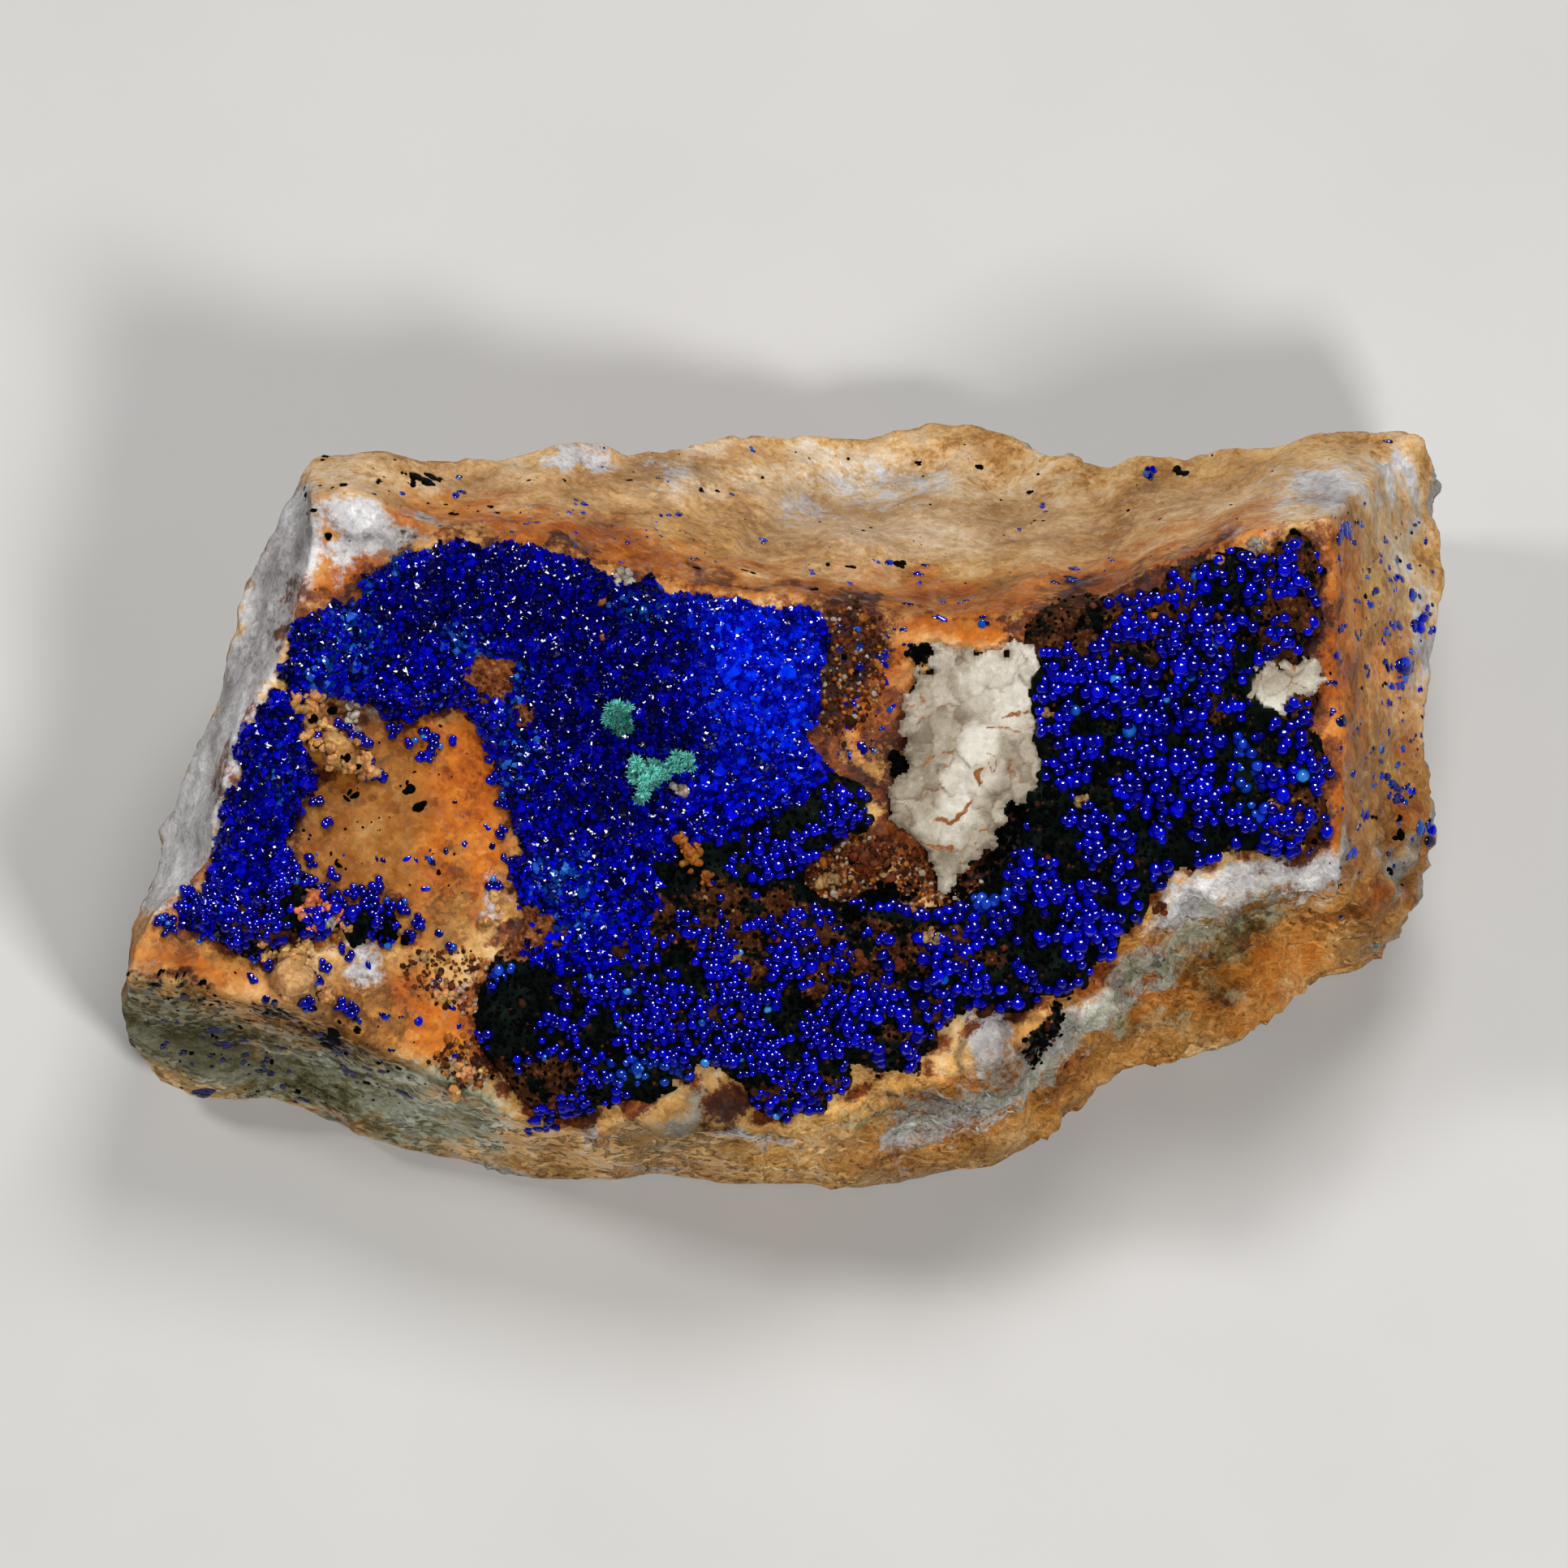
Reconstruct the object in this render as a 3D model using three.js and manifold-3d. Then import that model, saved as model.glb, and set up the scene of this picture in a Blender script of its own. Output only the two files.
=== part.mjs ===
// Azurite and malachite specimen: a block of broken vein quartz stained by limonite, with one face
// covered by a crust of azurite, two malachite tufts and two clusters of bare quartz.
// Millimetres, +Z up. The block lies on its broken underside, and its azurite face leans towards -Y.
//
// Outlines are drawn in the plane of the azurite face: u runs to the right, v up the face towards
// the back of the block, and w straight out of the face.
import * as THREE from "three";
import { mergeVertices } from "three/addons/utils/BufferGeometryUtils.js";
import Module from "manifold-3d";

const wasm = await Module();
wasm.setup();

// Driving dimensions
const FACE_TILT = THREE.MathUtils.degToRad(22); // lean of the azurite face from level
const FACE_HEIGHT = 17; // height of the middle of the face above the table
const SIDE_FALL = 2.25; // how far a side drops for each millimetre that it flares out
const LEAST_FALL = 2.6; // shortest drop from the face's edge to the widest outline
const LOWEST_RIM = 3.6; // the widest outline stays this far above the table
const UNDERCUT = 0.07; // how much narrower the underside is than the widest outline
const SIDE_LUMPS = 0.05; // lumps of the lower sides, as a share of the half width
const CRUST_THICKNESS = 0.8;
const CRUST_EDGE = 0.35; // the crust thins to this at its margin
const CRUST_MARGIN = 1.6; // over this width
const GAP = 0.3; // between two minerals that touch
const CELLS_ALONG = 32; // facets of the block along its length
const CELLS_ACROSS = 14; // and across its face
const FLANK_SHARES = [0.05, 0.16, 0.33, 0.52, 0.72, 0.9, 1]; // rings of the flaring sides
const FOOT_SHARES = [0.25, 0.5, 0.78, 1]; // rings from the widest outline to the underside

// The widest outline, from the back left corner round by the front, one list for each side.
const RIM_LEFT = [
  [-21.2, 14.9], [-21.7, 14.1], [-22.9, 11.9], [-23.9, 9.6], [-24.8, 7.9], [-25.3, 5.0],
  [-26.1, 3.1], [-27.4, -0.3], [-27.9, -1.7], [-28.3, -3.4], [-29.0, -5.2], [-29.7, -7.4],
  [-29.9, -8.4], [-29.7, -9.9], [-29.9, -11.0],
];
const RIM_FRONT = [
  [-29.9, -11.0], [-29.3, -11.6], [-27.2, -12.8], [-24.9, -13.5], [-22.4, -14.0], [-20.0, -14.7],
  [-18.8, -15.2], [-14.8, -15.0], [-12.5, -15.3], [-10.6, -16.0], [-8.9, -15.9], [-8.2, -16.3],
  [-7.5, -15.8], [-4.6, -16.0], [-0.2, -16.3], [4.2, -16.7], [5.0, -16.4], [8.6, -16.1],
  [10.1, -16.0], [11.4, -15.2], [12.8, -14.0], [14.4, -12.6], [16.2, -12.3], [17.7, -11.8],
  [20.2, -11.3], [22.3, -10.9], [23.5, -9.5], [24.6, -8.1], [26.0, -7.3], [27.6, -6.7],
];
const RIM_RIGHT = [
  [27.6, -6.7], [28.4, -5.8], [28.8, -4.0], [29.5, -1.9], [29.0, 0.8], [29.0, 3.4], [29.5, 5.9],
  [30.0, 9.9], [29.5, 12.7], [29.6, 15.1], [29.0, 15.9],
];
const RIM_BACK = [
  [29.0, 15.9], [27.5, 16.1], [24.0, 16.1], [23.1, 15.6], [19.2, 15.2], [17.5, 14.7],
  [16.2, 15.1], [14.8, 14.5], [13.2, 14.9], [10.9, 15.6], [9.7, 16.0], [8.7, 16.4], [7.4, 16.6],
  [5.6, 16.3], [3.4, 15.9], [-2.4, 16.0], [-4.2, 15.7], [-6.5, 14.9], [-7.5, 15.0], [-8.6, 15.7],
  [-9.3, 16.0], [-12.5, 14.9], [-16.1, 14.6], [-17.9, 15.0], [-21.2, 14.9],
];

// The edge of the azurite face, side by side in the same order.
const EDGE_LEFT = [
  [-21.4, 13.0], [-21.1, 11.5], [-22.0, 8.1], [-22.9, 4.9], [-24.6, 2.6], [-25.2, 0.3],
  [-26.0, -2.0], [-25.9, -3.4], [-28.3, -5.2], [-29.5, -7.8], [-29.6, -8.9],
];
const EDGE_FRONT = [
  [-29.6, -8.9], [-25.7, -9.1], [-23.2, -10.0], [-20.6, -10.5], [-18.8, -11.6], [-16.2, -12.9],
  [-14.2, -13.8], [-12.6, -15.0], [-11.3, -15.5], [-8.2, -15.5], [-6.8, -15.2], [-5.0, -15.2],
  [-1.5, -15.6], [0.7, -15.6], [2.7, -14.9], [4.5, -13.8], [8.3, -13.4], [10.0, -13.0],
  [11.3, -12.0], [12.2, -10.6], [13.8, -9.4], [15.4, -8.2], [15.9, -6.7], [17.3, -5.3],
  [18.5, -4.3], [20.5, -4.5], [22.7, -4.9], [24.7, -4.4],
];
const EDGE_RIGHT = [
  [24.7, -4.4], [25.0, -2.7], [25.1, -1.2], [25.0, 2.4], [24.8, 6.0], [24.7, 9.7], [24.6, 12.1],
];
const EDGE_BACK = [
  [24.6, 12.1], [20.9, 11.4], [18.7, 10.7], [16.5, 9.8], [13.3, 8.1], [10.3, 7.9], [7.4, 7.4],
  [5.2, 7.5], [3.4, 7.8], [1.2, 8.4], [-1.3, 8.6], [-4.2, 9.1], [-7.9, 10.1], [-9.7, 10.9],
  [-13.3, 11.3], [-15.9, 11.4], [-17.7, 12.3], [-19.5, 12.9], [-21.4, 13.0],
];
const FACE_CENTRE = [-2.4, 0.2];

// Swells and hollows of the azurite face: where, how wide and how high.
const RELIEF = [
  { u: -1.3, v: 4.3, radius: 3.4, height: 0.7 },
  { u: -9.5, v: 6.0, radius: 5.0, height: 0.5 },
  { u: -18.0, v: -1.5, radius: 4.5, height: -0.5 },
  { u: -20.0, v: -8.0, radius: 2.4, height: 0.5 },
  { u: 3.6, v: 3.6, radius: 2.4, height: -0.8 },
  { u: 8.6, v: 1.2, radius: 3.2, height: 0.5 },
  { u: 17.5, v: 3.0, radius: 6.0, height: -0.7 },
  { u: 1.0, v: -4.5, radius: 2.6, height: -0.6 },
  { u: -3.0, v: -9.5, radius: 5.0, height: 0.4 },
  { u: 15.5, v: -8.5, radius: 3.0, height: -1.1 },
  { u: -10.8, v: -15.2, radius: 2.2, height: -1.2 },
  { u: 9.2, v: -11.6, radius: 1.5, height: 0.7 },
  { u: -3.2, v: -14.6, radius: 1.9, height: 0.8 },
];

// Knobs of iron-stained rock and wedges of quartz that stand out of the block: w is how far their
// middle is above the rock, long how much longer than wide they are, and turn which way they run.
const KNOBS = [
  { u: -4.6, v: -14.7, w: -0.6, size: 1.3, long: 1.9, turn: 0.25 },
  { u: 8.9, v: -11.9, w: 0.0, size: 1.2, long: 1.5, turn: 1.2 },
  { u: -8.2, v: -15.6, w: -0.5, size: 0.6, long: 1.0, turn: 0 },
  { u: -20.2, v: 1.5, w: 0.0, size: 1.1, long: 1.6, turn: -0.5 },
  { u: -22.0, v: -8.6, w: 0.0, size: 1.2, long: 1.1, turn: 0.4 },
  { u: -21.2, v: -5.3, w: 0.1, size: 0.7, long: 1.1, turn: 0.2 },
  { u: -19.2, v: 12.0, w: -0.6, size: 1.5, long: 1.4, turn: -0.4 },
  { u: 20.5, v: -4.7, w: -0.3, size: 0.9, long: 2.2, turn: 0.1 },
  { u: 13.9, v: -10.2, w: -0.5, size: 0.9, long: 1.9, turn: 0.75 },
];

// The azurite crust, one sheet with an arm down the left edge and a notch in the middle of the back.
const CRUST_OUTLINE = [
  [-15.9, 11.1], [-18.1, 9.7], [-19.2, 8.7], [-20.6, 8.1], [-21.8, 7.8], [-22.2, 6.0],
  [-22.7, 4.6], [-23.6, 3.3], [-24.9, 1.7], [-24.5, 0.2], [-24.9, -0.9], [-25.7, -2.0],
  [-25.6, -3.4], [-26.4, -4.6], [-27.5, -5.3], [-28.0, -6.3], [-26.4, -6.6], [-25.4, -7.1],
  [-24.3, -8.0], [-23.0, -7.7], [-21.7, -6.9], [-20.8, -7.2], [-19.2, -6.9], [-17.0, -7.0],
  [-17.5, -5.1], [-19.7, -5.2], [-21.3, -4.2], [-22.2, -2.7], [-21.7, -1.2], [-20.6, -0.3],
  [-21.1, 1.0], [-21.7, 2.2], [-21.3, 3.6], [-19.5, 3.4], [-18.1, 3.1], [-17.3, 2.4],
  [-16.2, 3.4], [-14.2, 3.0], [-13.3, 1.5], [-12.4, -1.2], [-12.0, -2.7], [-12.4, -4.2],
  [-12.0, -5.8], [-13.3, -7.1], [-13.2, -8.2], [-14.1, -10.0], [-13.6, -12.0], [-12.2, -14.0],
  [-11.2, -15.0], [-9.6, -15.1], [-8.2, -14.8], [-6.4, -14.4], [-5.1, -13.7], [-3.1, -12.8],
  [-1.9, -13.6], [-1.3, -14.8], [-0.1, -15.2], [2.3, -14.5], [4.0, -13.0], [6.0, -13.0],
  [7.4, -11.1], [9.1, -9.9], [10.3, -10.4], [11.5, -10.6], [13.6, -9.1], [15.0, -7.8],
  [15.6, -6.3], [16.9, -5.1], [18.5, -3.9], [20.5, -3.1], [23.0, -3.5], [24.4, -2.3],
  [24.6, 0.2], [24.3, 2.2], [23.0, 3.1], [22.3, 2.3], [20.6, 2.5], [19.9, 4.4], [21.3, 6.4],
  [23.1, 6.1], [24.4, 6.0], [24.3, 9.7], [23.8, 11.4], [21.6, 10.9], [18.7, 9.9], [15.8, 8.7],
  [13.8, 7.6], [12.4, 6.4], [12.2, 5.0], [12.0, 3.1], [12.4, 0.9], [12.4, -0.7], [10.8, -1.6],
  [10.1, -2.9], [9.0, -4.6], [8.2, -5.6], [6.3, -5.6], [4.5, -5.0], [2.1, -5.2], [0.9, -4.3],
  [2.0, -3.1], [3.9, -2.2], [4.2, -0.9], [3.9, 0.1], [2.3, 0.6], [0.9, 2.2], [1.9, 3.1],
  [2.0, 6.0], [1.6, 7.9], [-1.3, 8.1], [-4.2, 8.6], [-7.9, 9.6], [-9.7, 10.4], [-13.3, 10.9],
];
const CUTTER_REACH = 6; // shapes that are cut to the rock start this far below the face
const CRUST_CELL = 1.6; // size of a facet of the crust
const CRUST_ROUGHNESS = 0.6; // how far neighbouring facets rise and fall
const DRUSE_LIMIT = 2.5; // left of here the crust is pointed crystals, right of it round grains
const CRYSTALS = 17;
const GRAINS = 26;
const CRYSTAL_SIZE = 0.7;
const GRAIN_RADIUS = 0.8;

// Bare quartz that the azurite left open, and the two tufts of malachite on the crust.
const QUARTZ_CENTRE_OUTLINE = [
  [6.6, 6.5], [8.4, 6.0], [9.8, 6.0], [10.2, 6.9], [10.6, 6.3], [11.5, 6.2], [11.8, 5.4],
  [11.5, 4.4], [11.2, 3.6], [11.6, 2.4], [11.8, 0.0], [11.2, -0.7], [10.2, -1.0], [9.7, -2.3],
  [8.7, -3.5], [7.9, -4.2], [7.6, -5.0], [6.8, -4.8], [6.4, -3.0], [4.8, -1.6], [4.6, -0.5],
  [4.9, 0.3], [5.6, 0.8], [5.2, 2.8], [5.5, 4.4], [6.4, 5.2],
];
const QUARTZ_RIGHT_OUTLINE = [
  [21.7, 5.8], [22.3, 5.5], [23.8, 5.5], [24.1, 4.9], [23.5, 4.1], [22.9, 3.7], [22.3, 2.9],
  [21.5, 2.9], [20.7, 4.0], [20.6, 4.6],
];
const TUFT_UPPER_OUTLINE = [
  [-7.5, 3.9], [-6.9, 3.9], [-6.7, 2.7], [-6.8, 2.3], [-7.4, 2.1], [-8.4, 3.1],
];
const TUFT_LOWER_OUTLINE = [
  [-6.9, 1.2], [-6.0, 1.3], [-5.5, 0.9], [-4.8, 1.6], [-4.0, 1.2], [-3.9, 0.6], [-5.1, 0.5],
  [-5.8, -0.5], [-6.6, -1.0], [-7.0, 0.3],
];

const TUFT_CUSHION = 0.55; // height of a tuft's body above the crust
const FIBRE_LEAN = 0.35; // radians of lean for each millimetre from a tuft's middle

// A repeatable number from 0 to 1 for three whole numbers.
function chance(i, j, k) {
  const mixed = Math.sin(i * 127.1 + j * 311.7 + k * 74.7) * 43758.5453;
  return mixed - Math.floor(mixed);
}

// Smooth noise from -1 to 1.
function noise(x, y, z) {
  const [i, j, k] = [Math.floor(x), Math.floor(y), Math.floor(z)];
  const ease = (t) => t * t * (3 - 2 * t);
  const [a, b, c] = [ease(x - i), ease(y - j), ease(z - k)];
  const row = (dj, dk) =>
    THREE.MathUtils.lerp(chance(i, j + dj, k + dk), chance(i + 1, j + dj, k + dk), a);
  const sheet = (dk) => THREE.MathUtils.lerp(row(0, dk), row(1, dk), b);
  return THREE.MathUtils.lerp(sheet(0), sheet(1), c) * 2 - 1;
}

// A point of the face's own plane in the part's frame, before the block is centred.
function place(u, v, w) {
  return new THREE.Vector3(
    u,
    v * Math.cos(FACE_TILT) - w * Math.sin(FACE_TILT),
    v * Math.sin(FACE_TILT) + w * Math.cos(FACE_TILT) + FACE_HEIGHT,
  );
}

// Height of the bare rock above the plane of the face.
function relief(u, v) {
  let height = 0.22 * noise(u / 2.6, v / 2.6, 3.3) + 0.16 * noise(u / 1.4, v / 1.4, 8.1);
  for (const swell of RELIEF) {
    const distance = Math.hypot(u - swell.u, v - swell.v) / swell.radius;
    height += swell.height * Math.exp(-distance * distance);
  }
  return height;
}

// Points at even steps along an open line, without its last one.
function evenly(line, count) {
  const path = new THREE.CurvePath();
  line.slice(1).forEach((end, index) => {
    path.add(new THREE.LineCurve(new THREE.Vector2(...line[index]), new THREE.Vector2(...end)));
  });
  return Array.from({ length: count }, (_, index) => path.getPointAt(index / count));
}

// All four sides as one closed ring, with the same number of points on a side as the face's grid.
function ringOf(left, front, right, back) {
  return [
    ...evenly(left, CELLS_ACROSS), ...evenly(front, CELLS_ALONG),
    ...evenly(right, CELLS_ACROSS), ...evenly(back, CELLS_ALONG),
  ];
}

// Place round the ring of a point on the border of the grid, both from -1 to 1.
function ringPlace(x, y) {
  if (x <= -1 && y > -1) return ((1 - y) / 2) * CELLS_ACROSS;
  if (y <= -1 && x < 1) return CELLS_ACROSS + ((x + 1) / 2) * CELLS_ALONG;
  if (x >= 1 && y < 1) return CELLS_ACROSS + CELLS_ALONG + ((y + 1) / 2) * CELLS_ACROSS;
  return 2 * CELLS_ACROSS + CELLS_ALONG + ((1 - x) / 2) * CELLS_ALONG;
}

function solidOf(geometry) {
  const bare = geometry.clone();
  bare.deleteAttribute("normal");
  bare.deleteAttribute("uv");
  const merged = mergeVertices(bare, 1e-4);
  return new wasm.Manifold(
    new wasm.Mesh({
      numProp: 3,
      vertProperties: new Float32Array(merged.attributes.position.array),
      triVerts: new Uint32Array(merged.index.array),
    }),
  );
}

function geometryOf(solid) {
  const { vertProperties, triVerts } = solid.getMesh();
  return new THREE.BufferGeometry()
    .setAttribute("position", new THREE.BufferAttribute(new Float32Array(vertProperties), 3))
    .setIndex(new THREE.BufferAttribute(new Uint32Array(triVerts), 1));
}

// A copy of a geometry, shifted along the face's own directions.
function moved(geometry, du, dv, dw) {
  const shift = place(du, dv, dw).sub(place(0, 0, 0));
  return geometry.clone().translate(shift.x, shift.y, shift.z);
}

function largest(solid) {
  return solid.decompose().sort((a, b) => b.volume() - a.volume())[0];
}

// Rows of points that fill the face: straight lines run from its middle to its edge.
function faceRows(edge) {
  return Array.from({ length: CELLS_ACROSS + 1 }, (_, row) =>
    Array.from({ length: CELLS_ALONG + 1 }, (_, column) => {
      const x = (2 * column) / CELLS_ALONG - 1;
      const y = (2 * row) / CELLS_ACROSS - 1;
      const reach = Math.max(Math.abs(x), Math.abs(y));
      const at = reach ? Number(ringPlace(x / reach, y / reach).toFixed(6)) : 0;
      const [from, to] = [Math.floor(at) % edge.length, Math.ceil(at) % edge.length];
      const border = edge[from].clone().lerp(edge[to], at - Math.floor(at));
      const u = THREE.MathUtils.lerp(FACE_CENTRE[0], border.x, reach);
      const v = THREE.MathUtils.lerp(FACE_CENTRE[1], border.y, reach);
      return place(u, v, relief(u, v));
    }),
  );
}

// Depth of the widest outline below the plane of the face, evened out between neighbours.
function rimDepths(rim, edge) {
  const drops = rim.map((point, index) => {
    const rough = 1 + 0.2 * noise(point.x / 5, point.y / 5, 1.7);
    return Math.max(point.distanceTo(edge[index]) * SIDE_FALL, LEAST_FALL) * rough;
  });
  return rim.map((point, index) => {
    const nearby = [-2, -1, 0, 1, 2].map((step) => drops[(index + step + rim.length) % rim.length]);
    const drop = nearby.reduce((sum, value) => sum + value, 0) / nearby.length;
    const lowest = (LOWEST_RIM - FACE_HEIGHT - point.y * Math.sin(FACE_TILT)) / Math.cos(FACE_TILT);
    return Math.max(relief(edge[index].x, edge[index].y) - drop, lowest);
  });
}

// One ring of the flaring sides, a share of the way from the face's edge to the widest outline.
function flankRing(rim, edge, depths, share) {
  return rim.map((outer, index) => {
    const inner = edge[index];
    const point = inner.clone().lerp(outer, share);
    const scooped = 1 - (1 - share) ** 1.35;
    const depth = THREE.MathUtils.lerp(relief(inner.x, inner.y), depths[index], scooped);
    const swell = Math.sin(Math.PI * Math.min(share, 0.9)) * inner.distanceTo(outer);
    const lumps = 0.3 * noise(point.x / 2.8, point.y / 2.8, share * 3)
      + 0.2 * noise(point.x / 1.5, point.y / 1.5, share * 5);
    return place(point.x, point.y, depth + swell * lumps);
  });
}

// One ring of the lower sides, a share of the way from the widest outline down to the underside.
function footRing(widest, middle, share) {
  return widest.map((point) => {
    const narrowing = UNDERCUT * (1 + 0.8 * noise(point.x / 6, point.y / 6, 5.5));
    const lumps = SIDE_LUMPS * Math.sin(Math.PI * share) * noise(point.x / 3, point.y / 3, share * 2.6);
    const scale = 1 - narrowing * share ** 1.6 + lumps;
    return new THREE.Vector3(
      middle.x + (point.x - middle.x) * scale,
      middle.y + (point.y - middle.y) * scale,
      share === 1 ? 0 : point.z * (1 - share ** 0.85),
    );
  });
}

// The block without its knobs: a gridded face, flaring sides and a flat broken underside.
function blockGeometry() {
  const rim = ringOf(RIM_LEFT, RIM_FRONT, RIM_RIGHT, RIM_BACK);
  const edge = ringOf(EDGE_LEFT, EDGE_FRONT, EDGE_RIGHT, EDGE_BACK);
  const rows = faceRows(edge);
  const depths = rimDepths(rim, edge);
  const widest = rim.map((point, index) => place(point.x, point.y, depths[index]));
  const middle = place(FACE_CENTRE[0], FACE_CENTRE[1], -FACE_HEIGHT / 2);
  const rings = [
    ...FLANK_SHARES.map((share) => flankRing(rim, edge, depths, share)),
    ...FOOT_SHARES.map((share) => footRing(widest, middle, share)),
  ];

  const points = [...rows.flat(), ...rings.flat()];
  const triangles = [];
  const gridId = (row, column) => row * (CELLS_ALONG + 1) + column;
  for (let row = 0; row < CELLS_ACROSS; row += 1) {
    for (let column = 0; column < CELLS_ALONG; column += 1) {
      const [a, b] = [gridId(row, column), gridId(row, column + 1)];
      const [c, d] = [gridId(row + 1, column + 1), gridId(row + 1, column)];
      if ((row + column) % 2) triangles.push(a, b, c, a, c, d);
      else triangles.push(a, b, d, b, c, d);
    }
  }
  const border = [
    ...Array.from({ length: CELLS_ACROSS }, (_, step) => gridId(CELLS_ACROSS - step, 0)),
    ...Array.from({ length: CELLS_ALONG }, (_, step) => gridId(0, step)),
    ...Array.from({ length: CELLS_ACROSS }, (_, step) => gridId(step, CELLS_ALONG)),
    ...Array.from({ length: CELLS_ALONG }, (_, step) => gridId(CELLS_ACROSS, CELLS_ALONG - step)),
  ];
  const firstRingId = rows.flat().length;
  const ringIds = [border];
  rings.forEach((ring, order) => {
    ringIds.push(ring.map((_, index) => firstRingId + order * ring.length + index));
  });
  ringIds.slice(1).forEach((lower, order) => {
    const upper = ringIds[order];
    lower.forEach((below, index) => {
      const next = (index + 1) % lower.length;
      const [above, aboveNext, belowNext] = [upper[index], upper[next], lower[next]];
      if ((order + index) % 2) triangles.push(above, below, belowNext, above, belowNext, aboveNext);
      else triangles.push(above, below, aboveNext, below, belowNext, aboveNext);
    });
  });
  const sole = rings[rings.length - 1].map((point) => new THREE.Vector2(point.x, point.y));
  const soleIds = ringIds[ringIds.length - 1];
  for (const [a, b, c] of THREE.ShapeUtils.triangulateShape(sole, [])) {
    triangles.push(soleIds[c], soleIds[b], soleIds[a]);
  }
  return new THREE.BufferGeometry().setFromPoints(points).setIndex(triangles);
}

// A straight-walled prism over an outline of the face, from one depth to another.
function prism(outline, from, to) {
  const shape = new THREE.Shape(outline.map(([u, v]) => new THREE.Vector2(u, v)));
  const geometry = new THREE.ExtrudeGeometry(shape, { depth: to - from, bevelEnabled: false });
  geometry.translate(0, 0, from);
  return onFace(geometry);
}

// Moves a geometry made in face coordinates into the part's frame.
function onFace(geometry) {
  const position = geometry.attributes.position;
  for (let index = 0; index < position.count; index += 1) {
    const point = place(position.getX(index), position.getY(index), position.getZ(index));
    position.setXYZ(index, point.x, point.y, point.z);
  }
  return geometry;
}

// A single crystal or grain, sunk part of its size into what it grows from.
function lump(geometry, u, v, w, turn) {
  geometry.rotateX(turn * 2.1).rotateY(turn * 3.7).rotateZ(turn * 5.3);
  geometry.translate(u, v, w);
  return solidOf(onFace(geometry));
}

// The block with its knobs and quartz wedges grown on.
function rockGeometry() {
  let rock = solidOf(blockGeometry());
  KNOBS.forEach(({ u, v, w, size, long, turn }) => {
    const knob = new THREE.IcosahedronGeometry(size).scale(long, 1, 0.8).rotateZ(turn);
    knob.translate(u, v, relief(u, v) + w);
    rock = rock.add(solidOf(onFace(knob)));
  });
  return geometryOf(rock);
}

// Whether a point of the face lies inside an outline.
function isInside(outline, u, v) {
  let inside = false;
  outline.forEach(([au, av], index) => {
    const [bu, bv] = outline[(index + outline.length - 1) % outline.length];
    if (av > v !== bv > v && u < ((bu - au) * (v - av)) / (bv - av) + au) inside = !inside;
  });
  return inside;
}

// How far a point of the face is from an outline's line.
function marginAt(outline, u, v) {
  const point = new THREE.Vector3(u, v, 0);
  const nearest = new THREE.Vector3();
  const distances = outline.map(([au, av], index) => {
    const [bu, bv] = outline[(index + 1) % outline.length];
    const side = new THREE.Line3(new THREE.Vector3(au, av, 0), new THREE.Vector3(bu, bv, 0));
    return side.closestPointToPoint(point, true, nearest).distanceTo(point);
  });
  return Math.min(...distances);
}

// Height of the crust, which thins towards its margin.
function crustTop(u, v) {
  const depth = isInside(CRUST_OUTLINE, u, v) ? marginAt(CRUST_OUTLINE, u, v) : 0;
  const share = THREE.MathUtils.smoothstep(depth, 0, CRUST_MARGIN);
  return relief(u, v) + GAP + THREE.MathUtils.lerp(CRUST_EDGE, CRUST_THICKNESS, share);
}

// A block whose top is the crust's rough surface, for the outline to cut.
function blanketGeometry() {
  const [left, right, front, back, below] = [-29, 26, -16.5, 12.5, -CUTTER_REACH];
  const columns = Math.round((right - left) / CRUST_CELL);
  const rows = Math.round((back - front) / CRUST_CELL);
  const geometry = new THREE.BoxGeometry(1, 1, 1, columns, rows, 1);
  const position = geometry.attributes.position;
  for (let index = 0; index < position.count; index += 1) {
    const [across, along] = [position.getX(index) + 0.5, position.getY(index) + 0.5];
    const [column, row] = [Math.round(across * columns), Math.round(along * rows)];
    const inside = column > 0 && column < columns && row > 0 && row < rows;
    const shift = inside ? CRUST_CELL * 0.55 : 0;
    const u = THREE.MathUtils.lerp(left, right, across) + shift * (chance(column, row, 1) - 0.5);
    const v = THREE.MathUtils.lerp(front, back, along) + shift * (chance(column, row, 2) - 0.5);
    const rough = CRUST_ROUGHNESS * (chance(column, row, 3) - 0.5);
    position.setXYZ(index, u, v, position.getZ(index) > 0 ? crustTop(u, v) + rough : below);
  }
  return onFace(geometry);
}

// Places spread over an outline, kept a margin inside it.
function scattered(outline, count, margin, seed, allowed) {
  const found = [];
  const box = new THREE.Box2().setFromPoints(outline.map(([u, v]) => new THREE.Vector2(u, v)));
  for (let trial = 0; found.length < count && trial < 8000; trial += 1) {
    const u = THREE.MathUtils.lerp(box.min.x, box.max.x, chance(trial, seed, 11));
    const v = THREE.MathUtils.lerp(box.min.y, box.max.y, chance(trial, seed, 12));
    if (!allowed(u, v) || !isInside(outline, u, v) || marginAt(outline, u, v) < margin) continue;
    if (found.every(([fu, fv]) => Math.hypot(u - fu, v - fv) > margin * 1.9)) found.push([u, v]);
  }
  return found;
}

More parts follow.
